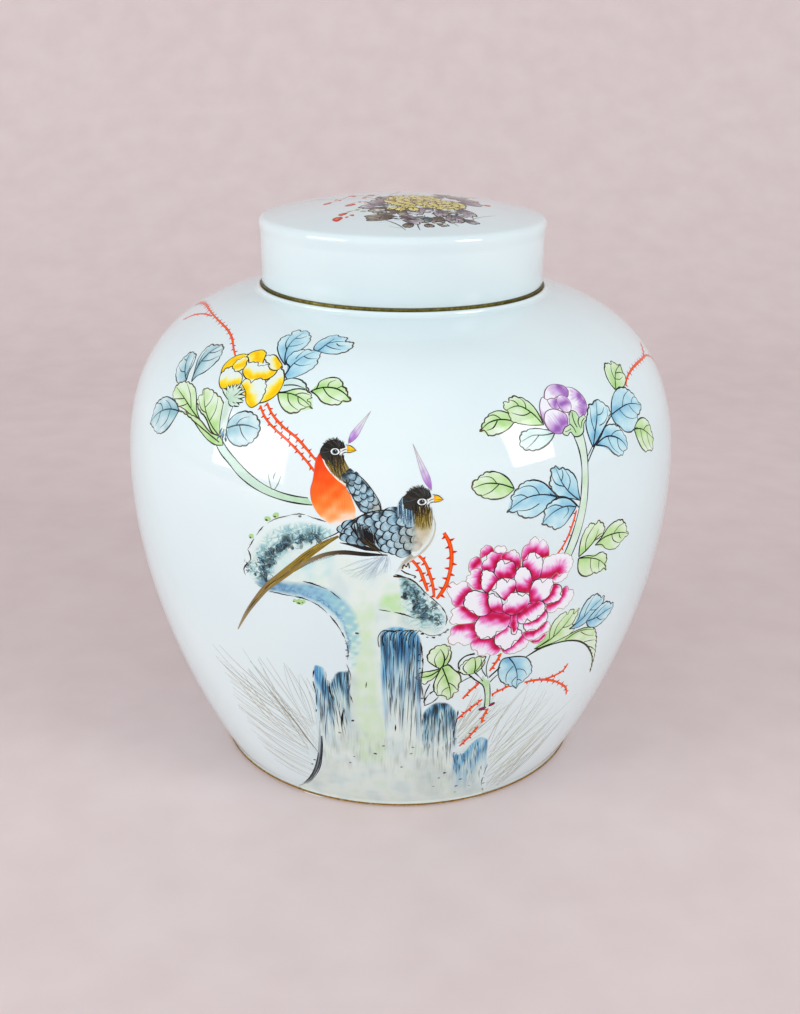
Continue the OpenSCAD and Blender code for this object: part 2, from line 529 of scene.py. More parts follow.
class Enamel:
    """One piece of the painting, which gathers washes and lines until it is laid."""

    def __init__(self, name, lay, body=JAR):
        self.name = name
        self.lay = lay
        self.body = body
        self.points = []
        self.paint = []
        self.faces = []
        self.washes = []
        self.count = 0

    def below(self, xy):
        """What the washes so far show at these points."""
        total = np.zeros((len(xy), 4))
        for edge, paint in self.washes:
            here = np.all((xy > edge.min(0)) & (xy < edge.max(0)), axis=1)
            if here.any():
                here[here] = inside(xy[here], edge)
            if here.any():
                top = paint(xy[here], distance(xy[here], np.vstack([edge, edge[:1]])))
                total[here] = over(np.broadcast_to(top, (here.sum(), 4)), total[here])
        return total

    def add(self, xy, lift, paint, faces):
        """Points on the sheet with their lift, colours and faces. What is below shows through thin paint."""
        paint = np.broadcast_to(paint, (len(xy), 4))
        if self.washes and paint[:, 3].min() < 0.99:
            paint = over(paint, self.below(xy))
        self.points.append(self.lay(xy, lift))
        self.paint.append(paint)
        self.faces.extend((np.array(faces) + self.count).tolist())
        self.count += len(xy)

    def wash(self, outline, paint, layer=0, spacing=0.8, smooth=True):
        """A filled shape. paint is a colour, or a function of the points and their distance from the edge."""
        edge = curve(outline, spacing * 0.8, closed=True) if smooth else np.array(outline, float)
        low = edge.min(0)
        high = edge.max(0)
        rows = np.arange(low[1], high[1], spacing * GRID_ROW)
        grid = [
            (x + (i % 2) * spacing / 2, y)
            for i, y in enumerate(rows)
            for x in np.arange(low[0], high[0], spacing)
        ]
        grid = np.array(grid)
        grid = grid[inside(grid, edge)]
        if len(grid):
            grid = grid[distance(grid, np.vstack([edge, edge[:1]])) > spacing * GRID_CLEAR]
        every = [Vector(p) for p in np.vstack([edge, grid])]
        ring = list(range(len(edge)))
        verts, _, faces = delaunay_2d_cdt(every, [], [ring], 1, 1e-5, False)[:3]
        xy = np.array(verts)
        # a dict keeps the sides in order
        sides = {}
        for face in faces:
            for a, b in zip(face, face[1:] + face[:1]):
                sides[(a, b)] = True
        rim = [s for s in sides if (s[1], s[0]) not in sides]
        brush = paint if callable(paint) else lambda spots, edges: np.array([paint])
        colour = np.broadcast_to(brush(xy, distance(xy, np.vstack([edge, edge[:1]]))), (len(xy), 4))
        below = sorted({a for side in rim for a in side})
        under = {a: len(xy) + i for i, a in enumerate(below)}
        lift = np.concatenate([np.full(len(xy), FIRST_LIFT + layer * LAYER), np.full(len(below), SUNK)])
        walls = [(b, a, under[a]) for a, b in rim] + [(b, under[a], under[b]) for a, b in rim]
        self.add(np.vstack([xy, xy[below]]), lift, np.vstack([colour, colour[below]]), faces + walls)
        self.washes.append((edge, brush))

    def stroke(self, points, width, paint, layer=1, spacing=0.5, smooth=True, closed=False):
        """A brush stroke. width is one value, or values spread evenly along it; so is paint."""
        line = curve(points, spacing, closed) if smooth else np.array(points, float)
        if closed:
            line = np.vstack([line, line[:1]])
        t = np.concatenate([[0], np.cumsum(np.linalg.norm(np.diff(line, axis=0), axis=1))])
        t = t / t[-1]
        width = np.atleast_1d(width)
        half = np.interp(t, np.linspace(0, 1, len(width)), width)[:, None] / 2
        paint = np.atleast_2d(paint)
        if len(paint) != len(t):
            paint = tint(list(zip(np.linspace(0, 1, len(paint)), paint)), t)
        along = np.gradient(line, axis=0)
        along /= np.maximum(np.linalg.norm(along, axis=1), 1e-9)[:, None]
        side = np.column_stack([-along[:, 1], along[:, 0]]) * half
        n = len(line)
        top = FIRST_LIFT + layer * LAYER
        xy = np.vstack([line + side * STROKE_FOOT, line + side, line - side, line - side * STROKE_FOOT])
        lift = np.repeat([SUNK, top, top, SUNK], n)
        faces = []
        for lane in range(3):
            a = np.arange(n - 1) + lane * n
            faces.append(np.column_stack([a, a + n, a + n + 1, a + 1]))
        self.add(xy, lift, np.vstack([paint] * 4), np.vstack(faces))

    def lay_down(self):
        """Makes the gathered washes and lines one piece, and rides it on its body."""
        points = np.vstack(self.points)
        data = bpy.data.meshes.new(self.name)
        data.from_pydata(points.tolist(), [], self.faces)
        paint = data.color_attributes.new("paint", "FLOAT_COLOR", "POINT")
        paint.data.foreach_set("color", np.vstack(self.paint).astype(np.float32).ravel())
        data.polygons.foreach_set("use_smooth", [True] * len(data.polygons))
        data.set_sharp_from_angle(angle=RELIEF_SHARP)
        obj = add_object(self.name, data)
        give(obj, ENAMEL)
        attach(obj, self.body)


INK = srgb(26, 20, 16)
SOFT_INK = srgb(84, 68, 50)
BROWN_LINE = srgb(150, 130, 96)
PLUM_LINE = srgb(56, 14, 34)
WHITE = srgb(236, 237, 243)


def streaks(xy, line, size, seed):
    """Fine streaks that run away from a line, as a brush drawn out of it leaves them."""
    line = np.atleast_2d(np.array([q[:2] for q in line], float))
    line = np.vstack([line, line[-1:] + 1e-6])
    a = line[:-1]
    d = line[1:] - a
    t = np.clip(((xy[:, None] - a) * d).sum(2) / (d * d).sum(1), 0, 1)
    away = xy[:, None] - a - t[:, :, None] * d
    gap = np.linalg.norm(away, axis=2)
    best = gap.argmin(1)
    row = np.arange(len(xy))
    length = np.linalg.norm(d, axis=1)
    place = (np.cumsum(length) - length)[best] + t[row, best] * length[best]
    fan = np.arctan2(away[row, best, 1], away[row, best, 0])
    return mottle(np.column_stack([place + 1.7 * fan, 0.12 * gap[row, best]]), size, seed)


def pooled(roots, reach, stops, seed=0, grain=0.14, streak=0.16):
    """Colour that pools along the roots and thins out over reach, streaked by the brush."""

    def paint(xy, edge):
        t = distance(xy, roots) / reach
        brushed = streak * streaks(xy, roots, 0.42, seed + 1) * np.clip(t, 0.3, 1)
        t = t + grain * mottle(xy, 1.6, seed) + brushed
        return tint(stops, t)

    return paint


def wavering(width, count, seed):
    """Line widths that swell and thin like a brush line."""
    draw = random.Random(seed)
    return [width * draw.uniform(0.55, 1.35) for _ in range(count)]


def fade(colour, alpha):
    """The same colour, see-through."""
    return (*colour[:3], alpha)


def along(start, end, stops, seed=0, grain=0.08, size=1.5, soft_edge=0.0):
    """Colour that changes from start to end; with soft_edge, it thins out that far in from the outline."""
    start = np.array(start, float)
    way = np.array(end, float) - start

    def paint(xy, edge):
        t = (xy - start) @ way / (way @ way)
        t = t + grain * mottle(xy, size, seed)
        colour = tint(stops, t)
        if soft_edge:
            colour[:, 3] *= np.clip(edge / soft_edge, 0, 1)
        return colour

    return paint


def cloud(stops, seed=0, size=3.0, soft_edge=1.5, full_below=None):
    """Colour in soft patches, thinning out towards the edge, but not below a height if one is given."""

    def paint(xy, edge):
        t = 0.5 + 0.45 * mottle(xy, size, seed) + 0.15 * mottle(xy, size / 3, seed + 1)
        colour = tint(stops, t)
        thin = np.clip(edge / soft_edge, 0, 1)
        if full_below is not None:
            thin = np.maximum(thin, np.clip(full_below - xy[:, 1], 0, 1))
        colour[:, 3] *= thin
        return colour

    return paint


def turned_to(angle, scale=1.0, at=(0, 0)):
    """A change of frame: turn by angle in degrees, scale, then move."""
    c, s = math.cos(math.radians(angle)) * scale, math.sin(math.radians(angle)) * scale

    def move(points):
        return [(at[0] + c * p[0] - s * p[1], at[1] + s * p[0] + c * p[1], *p[2:]) for p in points]

    return move


def oval(across, up, count):
    """Points round an oval about the origin; the last of the count would close it and is left out."""
    return [(across * math.cos(a), up * math.sin(a)) for a in np.linspace(0, 6.28, count)[:-1]]


def lobed(outline, depth=0.5, breadth=2.5, seed=0, root=None):
    """A leaf or petal outline with the half that is far from its root broken into shallow round lobes."""
    line = curve(outline, 0.3, closed=True)
    gap = distance(line, [line[0]] if root is None else root)
    far = np.clip((gap / gap.max() - 0.5) / 0.3, 0, 1)
    way = np.roll(line, -1, axis=0) - np.roll(line, 1, axis=0)
    step = np.concatenate([[0], np.cumsum(np.linalg.norm(np.diff(line, axis=0), axis=1))])
    wave = np.abs(np.sin(math.pi * step / breadth + seed * 0.7)) ** 0.7
    x, y = line[:, 0], line[:, 1]
    turn = np.sign(np.sum(x * np.roll(y, -1) - y * np.roll(x, -1)))
    inward = np.column_stack([-way[:, 1], way[:, 0]]) * turn
    inward /= np.maximum(np.linalg.norm(inward, axis=1), 1e-9)[:, None]
    return line + inward * (depth * far * (1 - wave))[:, None]


def scales(art, outline, flow, size, paint, edge, layer, rows_per_layer=1.0, seed=0):
    """Feathers like roof tiles that fill an outline. flow gives the way their tips point, in degrees."""
    draw = random.Random(seed)
    border = curve(outline, 0.6, closed=True)
    low, high = border.min(0), border.max(0)
    middle = (low + high) / 2
    main = flow(middle)
    axis = np.array([math.cos(math.radians(main)), math.sin(math.radians(main))])
    across = np.array([-axis[1], axis[0]])
    reach = np.linalg.norm(high - low) / 2
    pitch = size * 0.82
    rows = int(reach / pitch) + 1
    for row in range(rows, -rows - 1, -1):
        for column in range(-rows - 2, rows + 3):
            spot = middle + axis * row * pitch + across * (column + 0.5 * (row % 2)) * size * 0.95
            spot = spot + np.array([draw.uniform(-0.12, 0.12), draw.uniform(-0.12, 0.12)]) * size
            if not inside(spot[None], border)[0]:
                continue
            grow = size * draw.uniform(0.85, 1.2)
            to = turned_to(flow(spot) + draw.uniform(-16, 16), grow, spot)
            level = layer + (rows - row) * rows_per_layer
            tip = 0.7 + draw.uniform(-0.12, 0.14)
            shape = [
                (-0.8, -0.3, 1), (-0.05, -0.5), (tip * 0.66, -0.34), (tip, 0), (tip * 0.66, 0.32),
                (-0.05, 0.5), (-0.8, 0.3, 1)
            ]
            art.wash(to(shape), paint(spot, to, draw), layer=level, spacing=size * 0.22)
            rim = [(-0.1, -0.5), (tip * 0.66, -0.36), (tip, 0), (tip * 0.66, 0.34), (0, 0.5)]
            thick = [0.03, 0.2, 0.2, 0.08, 0.02] if draw.random() < 0.6 else [0.02, 0.06, 0.18, 0.2, 0.04]
            art.stroke(to(rim), [w * size * 0.8 for w in thick], edge, layer=level + 0.4, spacing=0.25)
            for k in (-0.3, -0.15, 0, 0.15, 0.3):
                barb = [(-0.45, k * 0.5), (tip * draw.uniform(0.1, 0.75), k)]
                art.stroke(to(barb), [0.14, 0.09, 0.02], fade(edge, 0.7), layer=level + 0.3, spacing=0.6)


def hairs(art, count, start, end, width, colours, layer, bend=0.1, seed=0, jitter=0.4):
    """Fine strokes whose roots lie along the line start and whose tips lie along the line end."""
    draw = random.Random(seed)
    roots = curve(start, 0.3)
    tips = curve(end, 0.3)
    for i in range(count):
        t = (i + draw.random()) / count
        a = roots[int(t * (len(roots) - 1))] + [draw.uniform(-jitter, jitter), draw.uniform(-jitter, jitter)]
        b = tips[int(t * (len(tips) - 1))] + [draw.uniform(-jitter, jitter), draw.uniform(-jitter, jitter)]
        way = b - a
        middle = (a + b) / 2 + draw.uniform(-bend, bend) * np.array([-way[1], way[0]])
        thick = width * draw.uniform(0.6, 1.3)
        art.stroke(
            [a, middle, b], [thick * 0.5, thick, thick * 0.7, 0.03], draw.choice(colours),
            layer=layer + 0.15 * (i % 5), spacing=0.7
        )


def daub(art, at, size, colour, layer=3, seed=0, stretch=1.0, angle=0):
    """A small uneven dab of the brush."""
    draw = random.Random(seed)
    to = turned_to(angle, size / 2, at)
    ring = [
        (stretch * math.cos(a) * draw.uniform(0.7, 1.25), math.sin(a) * draw.uniform(0.7, 1.25))
        for a in np.linspace(0, 2 * math.pi, 7, endpoint=False)
    ]
    art.wash(to(ring), colour, layer=layer, spacing=max(0.25, size / 4))


CORAL_DARK = srgb(204, 44, 0)
CORAL = srgb(243, 84, 0)
CORAL_RED = srgb(242, 90, 16)
CORAL_SPACING = 0.25


def coral_stem(art, points, width=0.95, layer=7, seed=0, thorns=1.8):
    """A red branch: a broad stroke with darker edges, and a thorn every thorns mm on alternating sides."""
    draw = random.Random(seed)
    line = curve(points, CORAL_SPACING)
    widths = [width * 0.85] + [width * draw.uniform(0.85, 1.12) for _ in range(6)] + [width * 0.7]
    art.stroke(points, widths, CORAL_DARK, layer=layer)
    art.stroke(points, [w * 0.68 for w in widths], [CORAL, CORAL_RED, CORAL], layer=layer + 0.5)
    step = int(thorns / CORAL_SPACING)
    for i, k in enumerate(range(step // 2, len(line) - 3, step)):
        k = min(len(line) - 3, k + draw.randint(-1, 1))
        way = line[k + 1] - line[k]
        way = way / np.linalg.norm(way)
        side = np.array([-way[1], way[0]]) * (1 if i % 2 else -1)
        root_at = line[k] + side * width * 0.3
        tip = root_at + side * width * draw.uniform(0.95, 1.45) + way * draw.uniform(-0.2, 0.45)
        art.stroke(
            [root_at, (root_at + tip) / 2 + way * 0.08, tip], [width * 0.8, width * 0.55, 0.12],
            CORAL_DARK, layer=layer + 0.8, spacing=0.3
        )


# ---------------------------------------------------------------- the large pink peony

PEONY_PINK = [
    (0.0, srgb(184, 10, 58)),
    (0.22, srgb(206, 28, 96)),
    (0.45, srgb(224, 82, 162)),
    (0.7, srgb(232, 158, 212)),
    (1.0, srgb(234, 226, 240)),
    (1.3, WHITE),
]

# Each petal: its outline, where its colour pools, how far the colour reaches, and whether it is at the edge.
PEONY_PETALS = [
    (
        [(-12, 18, 1), (-12.2, 20.6), (-10.2, 22.4), (-8.3, 21.4), (-7.6, 20, 1)],
        [(-12, 17), (-8.2, 20.6)], 2.8, True
    ), (
        [(-7.4, 20, 1), (-7.2, 21.6), (-5.8, 21.6, 1), (-4, 21.3), (-3.2, 20, 1), (-4.5, 18.6)],
        [(-5, 18.6)], 0.9, True
    ), (
        [(-14.6, 12, 1), (-15.8, 15), (-15.3, 17.8), (-13.3, 18.7), (-12, 18, 1), (-11.5, 15)],
        [(-14, 15.6), (-11.8, 18)], 2.4, True
    ), (
        [
            (-13.8, 7.6, 1), (-14.6, 8.6), (-16.4, 10.4), (-16.2, 12.2), (-15.2, 12.8, 1), (-14.8, 14.4),
            (-13, 14.6), (-11.4, 14, 1), (-11.4, 7)
        ], [(-12, 7.6), (-11.8, 12.6)], 2.6, True
    ), (
        [
            (-11.2, 13.8, 1), (-11.4, 16.2), (-10.2, 17.6, 1), (-9.4, 19.6), (-7.6, 19.9), (-6.7, 19.2, 1),
            (-5, 18.8), (-4.8, 16.6), (-7, 13)
        ], [(-10, 13.8), (-7.4, 14.6), (-6, 17.6)], 3.0, False
    ), (
        [
            (-4.9, 16.6, 1), (-4.9, 18.4), (-3.6, 19.2, 1), (-2.6, 18.8, 1), (-1.4, 19.8), (0.6, 18.6),
            (1.7, 16), (1.8, 13.4)
        ], [(-4.4, 17.6), (-2.6, 15.9), (0, 15), (1.6, 13.6)], 2.7, True
    ), (
        [
            (2.4, 15, 1), (2, 18.6), (3, 20.5), (4.6, 20.6, 1), (5, 22.4), (6.8, 23), (8.2, 21, 1),
            (9.6, 21.6), (11, 20.2), (12, 17.6), (12.2, 15.4, 1), (8, 15)
        ], [(3.8, 15.8), (5, 17.9), (6.6, 17.4), (8, 16), (11.8, 15.9)], 3.6, True
    ), (
        [
            (9, 8, 1), (9.8, 12), (10.4, 15, 1), (14, 15.6), (18, 15.2), (21.4, 13.4), (22.4, 10.6),
            (21, 8, 1), (14, 7)
        ], [(9.6, 8), (13.6, 8.2), (16.6, 9.4)], 3.8, True
    ), (
        [
            (14, 7.2, 1), (15, 5.2), (17.6, 4.8), (20, 5.8), (21, 8, 1), (18.5, 7.8), (16.8, 6.9),
            (15.8, 8.6)
        ], [(14.2, 7.4), (15.6, 7.8)], 2.0, True
    ), (
        [
            (-18.8, 1.2, 1), (-20.4, 2.8), (-20.7, 4.6, 1), (-22.4, 7.4), (-22, 10), (-20.2, 10.5),
            (-19.3, 9.4, 1), (-17.8, 10.6), (-16.2, 10.2), (-15.9, 8.6, 1), (-14, 7), (-14, 3)
        ], [(-18.4, 2.6), (-17, 5.4), (-14.6, 7.6)], 2.3, True
    ), (
        [
            (-18.6, 1.4, 1), (-20.6, 0), (-19.9, -1.6, 1), (-20.8, -3.2), (-20.4, -5, 1), (-18, -5.2),
            (-16, -5.7, 1), (-13, -5), (-11.4, -3.6), (-13, 0.6), (-16.4, 1.6)
        ], [(-16.4, 0.8), (-14.6, -1.2), (-11.8, -3.4)], 2.6, True
    ), (
        [
            (-18, -5.2, 1), (-20, -6.8), (-19.9, -8.8, 1), (-20.8, -11), (-19.2, -13.2), (-17, -12.4, 1),
            (-15.2, -13.8), (-12.4, -12.8), (-11.2, -11, 1), (-11, -5), (-14, -5.2)
        ], [(-17.6, -5.8), (-13, -5.8), (-11.8, -8), (-11.2, -10)], 3.4, True
    ), (
        [
            (-11, -10.6, 1), (-12.8, -13.4), (-12.2, -15.8), (-10.4, -16.4, 1), (-10, -18.2), (-8.2, -18.9),
            (-6.7, -18, 1), (-5.2, -19.2), (-2.8, -18.4), (-1.8, -16, 1), (-4, -11)
        ], [(-10.6, -11.8), (-5.6, -12.4), (-4.4, -15), (-3, -16.4)], 3.2, True
    ), (
        [
            (-2.2, -16.2, 1), (-0.8, -18.8), (2, -20), (5, -19.6), (7.6, -18), (8.2, -16, 1), (7, -14.8),
            (5.4, -12)
        ], [(-1, -17.6), (1.6, -16.4), (3.4, -15), (5.6, -13.8)], 2.5, True
    ), (
        [(8, -15.2, 1), (9.6, -17), (12, -17.8), (14.6, -16), (15, -14, 1), (11, -14.8)],
        [(9.4, -16.6), (12, -16.9), (14, -15.2)], 0.9, True
    ), (
        [
            (5.6, -12, 1), (6.4, -14.4), (8.4, -15.7), (11, -15.9), (13.4, -14.2, 1), (15.6, -13.8),
            (16, -11.6), (14.8, -9.8), (13, -9.4, 1), (10, -10.6)
        ], [(6.6, -12.6), (9.6, -12.8), (11.8, -11.6), (13.2, -9.8)], 2.2, True
    ), (
        [
            (13, -3, 1), (14, -5.8), (16.2, -6.5), (18.2, -5.2, 1), (20.4, -6.2), (22.8, -4.4),
            (24.3, -1.6), (23.6, 0.4), (21.6, 0.9, 1), (20.6, 2.6), (19.2, 2.2, 1), (18, -1)
        ], [(13.6, -3.6), (17, -2.8), (19, -0.6), (19.5, 1.6)], 2.4, True
    ), (
        [
            (15, 4.6, 1), (17.4, 3.8), (18.8, 1.8), (18.4, 0.4, 1), (19, -1.2), (17.2, -2.5),
            (14.6, -2.4, 1), (12.8, -2.4), (11.4, -0.8, 1), (13, 1.4)
        ], [(15.6, 4), (14.8, 1), (12.2, -0.8)], 2.2, False
    ), (
        [
            (5, -7, 1), (5.2, -9.6), (6.4, -11.6), (8.6, -11.2, 1), (10.4, -12), (12.2, -10.4, 1),
            (14.2, -9), (14.2, -7.2), (13, -4.6, 1), (9, -5)
        ], [(5.6, -8), (9, -8.2), (11, -7.2), (12.8, -5.4)], 1.9, False
    ), (
        [(-0.6, -8, 1), (0, -4, 1), (2.4, -4, 1), (3, -7.4), (3.4, -11.6, 1), (1, -12)],
        [(1, -4), (1.5, -10)], 2.0, False
    ), (
        [
            (-4.6, -9.6, 1), (-4.9, -12.4), (-4.2, -15), (-2.3, -16, 1), (-1, -17.8), (1.4, -17.3),
            (2.2, -14.8, 1), (3.8, -14.6), (5, -13), (4.8, -11.4), (3.2, -10.2), (2.4, -12), (1.2, -11.6),
            (0.4, -9), (-1.4, -8, 1)
        ], [(-4.2, -10.4), (-1.6, -9.2)], 2.0, False
    ), (
        [
            (2.2, -4.6, 1), (3, -7.4), (5, -8.4), (6.2, -6.5, 1), (7.4, -8), (9.4, -7.9), (10.3, -6.5, 1),
            (12, -6), (12.7, -3.6), (11.8, -1.6), (9.4, -0.4, 1), (6, -1), (4, -3)
        ], [(3, -4.8), (5.8, -2.8), (9, -1.5)], 2.8, False
    ), (
        [
            (-11, -3.2, 1), (-12.3, -6), (-11.8, -9), (-10.8, -10.6, 1), (-9.2, -12), (-7.6, -11.2, 1),
            (-6, -12.1), (-4.9, -11.2), (-4.5, -9.6, 1), (-1.8, -9.4), (-0.2, -7), (-0.2, -4, 1),
            (-4, -1.4), (-8, -1)
        ], [(-8.6, -2.8), (-5, -3.6), (-1.6, -5)], 3.8, False
    ), (
        [
            (-16.8, 2, 1), (-16.6, 4.4, 1), (-16, 6), (-15.4, 6.4, 1), (-13.6, 7), (-11.4, 6.2),
            (-8.8, 5.4, 1), (-8, 2), (-7, -1.6, 1), (-9.6, -2.8), (-12.3, -2.2), (-13.2, -0.8, 1),
            (-15.2, 0.2)
        ], [(-9, 5), (-8.4, 1.6), (-7.2, -1.6)], 3.0, False
    ), (
        [
            (-11.3, 13.8, 1), (-11.5, 10), (-11, 7.4), (-9, 5.4, 1), (-7.6, 7), (-6, 8.2), (-5.6, 10.2, 1),
            (-7.2, 12.4, 1), (-8.6, 13.4), (-10, 13.9)
        ], [(-8.8, 5.8), (-7.2, 7.8), (-6.2, 10)], 2.6, False
    ), (
        [
            (-5.8, 10.2, 1), (-7.3, 12.4, 1), (-6.9, 14.6), (-5.8, 16.8), (-4.2, 16.6), (-4, 15.2, 1),
            (-2.6, 15.5, 1), (-1.4, 15.8), (0.3, 13), (0.4, 11.4), (-0.6, 9.8, 1), (-1.8, 10.2),
            (-3, 9.2, 1), (-4.2, 10.2)
        ], [(-5.4, 10.8), (-3, 10.6), (-0.6, 11.6), (0, 13.4)], 3.6, False
    ), (
        [
            (2.6, 13.4, 1), (2.8, 15.4), (4, 15.6, 1), (4.6, 17.6), (6.2, 17.9), (7.6, 15.4, 1), (9, 15.8),
            (9.9, 14.6, 1), (9.8, 11), (9.2, 8.4, 1), (6, 7.6), (5, 11)
        ], [(3.6, 13.2), (5.6, 11), (6.8, 8.4), (8.4, 9)], 2.8, False
    ), (
        [
            (0.8, 12.8, 1), (2.6, 13.4), (4.8, 12), (6.1, 9), (6.5, 6.4), (5.8, 3.4, 1), (3.4, 3.9),
            (1, 4.8, 1), (0.6, 7, 1), (0, 8.4), (0, 11)
        ], [(2, 5.2), (5.4, 4.2), (6, 6.6)], 3.4, False
    ), (
        [
            (6, 1, 1), (6.2, 5), (7.4, 7.4), (9.2, 7.7), (10.5, 6, 1), (12.2, 7.3), (14.2, 6.8),
            (14.8, 4.6), (13.8, 2.8, 1), (14, 1.4), (12.4, -0.2), (9.8, -0.4, 1), (7.6, -1.2)
        ], [(6.3, 3.4), (7, 0.4), (9, -0.3)], 2.6, False
    ), (
        [
            (-7.9, 6.4, 1), (-6.2, 7, 1), (-6.3, 9), (-4.8, 10.3), (-3.4, 9.8), (-2.6, 8.4, 1), (-1.6, 9.6),
            (-0.2, 9.2), (0.4, 5, 1), (-2.4, 1.6, 1), (-4.6, 3.6), (-5.8, 5)
        ], [(-2.8, 2), (-1.4, 3.8), (0.4, 5.6)], 2.8, False
    ), (
        [
            (-8.8, 5.2, 1), (-6.8, 5), (-5.6, 3.6, 1), (-4.6, 3.6, 1), (-3.6, 1), (-3, -2.9, 1),
            (-5.2, -2.3), (-7.4, -0.8), (-8.4, 1.6)
        ], [(-7, -0.8), (-5, -0.6), (-3.4, -1.6)], 2.6, False
    ), (
        [
            (-3, -2, 1), (-3.2, 0.4), (-2, 1.4, 1), (-2.1, 3), (-0.8, 4.4), (1, 4.4), (2.4, 3.2, 1),
            (3.4, 2.5, 1), (4.2, 3.2), (5.5, 2.9, 1), (6.2, 0.4), (5, -2.2), (2.8, -3.8), (0, -4), (-2, -3)
        ], [(-1.4, -2.4), (1.6, -3.4), (4.4, -1.8)], 2.9, False
    ),
]


def paint_peony():
    art = Enamel("pink_peony", WALL_SURFACE.place(21.4, 97.6))
    for i, (outline, roots, reach, outer) in enumerate(PEONY_PETALS):
        edge = lobed(outline, 0.4, 2.1, seed=i, root=roots)
        art.wash(edge, pooled(roots, reach, PEONY_PINK, seed=i), layer=i, spacing=0.38, smooth=False)
        line = BROWN_LINE if outer else PLUM_LINE
        art.stroke(
            edge, wavering(0.22 if outer else 0.27, 9, i), line, layer=i + 0.5, smooth=False, closed=True
        )
    art.lay_down()


paint_peony()


# ---------------------------------------------------------------- the pair of birds

BIRDS_AT = WALL_SURFACE.place(-12, 128)
FEATHER_BLACK = srgb(30, 28, 26)
FEATHER_BROWN = srgb(66, 54, 34)
OLIVE = srgb(140, 120, 48)
OLIVE_DARK = srgb(92, 74, 30)
STEEL = srgb(104, 156, 184)
STEEL_PALE = srgb(190, 218, 228)
STEEL_GREY = srgb(172, 172, 152)


def wing_paint(dark_at, dark_reach, grey_at=None, grey_reach=1.0):
    """Steel-blue feathers, darker near one place and greyer near another."""

    def paint(spot, to, draw):
        dark = max(0.0, 1 - np.linalg.norm(spot - np.array(dark_at)) / dark_reach)
        grey = 0.0 if grey_at is None else max(0.0, 1 - np.linalg.norm(spot - np.array(grey_at)) / grey_reach)
        shade = draw.uniform(0.0, 0.75)
        root = np.array(srgb(34, 48, 58))
        body = np.array(STEEL) * (1 - shade) + np.array(STEEL_PALE) * shade
        body = body * (1 - grey) + np.array(STEEL_GREY) * grey
        body = body * (1 - dark) + np.array(FEATHER_BLACK) * dark
        lit = 0.7 * (1 - dark)
        pale = body * (1 - lit) + np.array(STEEL_PALE) * lit * (1 - 0.6 * grey)
        pale = pale + np.array(STEEL_GREY) * lit * 0.6 * grey
        start, end = to([(-0.5, 0), (0.6, 0)])
        return along(
            start, end, [(0.0, root), (0.3, body), (0.62, pale), (1.0, body * 0.8)], grain=0.12, size=0.8
        )

    return paint


def head(art, move, layer):
    """A bird's head, drawn facing right around the eye, which is at the origin."""
    cap = [
        (-5.2, -1.2, 1), (-5.6, 0.4), (-4.6, 2.4), (-2.8, 3.8), (-0.4, 4.4), (1.6, 3.8), (3, 2.4),
        (3.2, 1.4, 1), (1.6, 1.0), (0.6, -0.4), (-0.6, -1.8), (-2.4, -2.6), (-4.2, -2.4)
    ]
    art.wash(
        move(cap), along(
            *move([(-4, -2), (1, 4)]), [(0, srgb(52, 50, 46)), (0.5, FEATHER_BLACK), (1, srgb(44, 36, 28))]
        ), layer=layer, spacing=0.5
    )
    hairs(
        art, 46, move([(-1, 0.8), (1, 1.6), (2.8, 1.8)]),
        move([(-5.8, -0.8), (-3.4, 3.6), (1.2, 4.4), (3, 3)]), 0.26,
        [FEATHER_BLACK, FEATHER_BLACK, FEATHER_BROWN, srgb(62, 70, 76)], layer + 1, seed=3, jitter=0.25
    )
    hairs(
        art, 34, move([(-2.4, -1.2), (0, -0.8), (2.6, -0.6)]), move([(-1.8, -4.6), (0.6, -5), (3, -3.8)]),
        0.26, [FEATHER_BLACK, FEATHER_BLACK, FEATHER_BROWN], layer + 0.4, seed=5, jitter=0.4
    )
    hairs(
        art, 16, move([(-3.4, 2.8), (-1.4, 4.0), (1, 4)]), move([(-4.6, 3.2), (-2.2, 4.9), (1.4, 4.9)]),
        0.3, [FEATHER_BLACK, FEATHER_BROWN], layer + 1.6, seed=4, jitter=0.2
    )


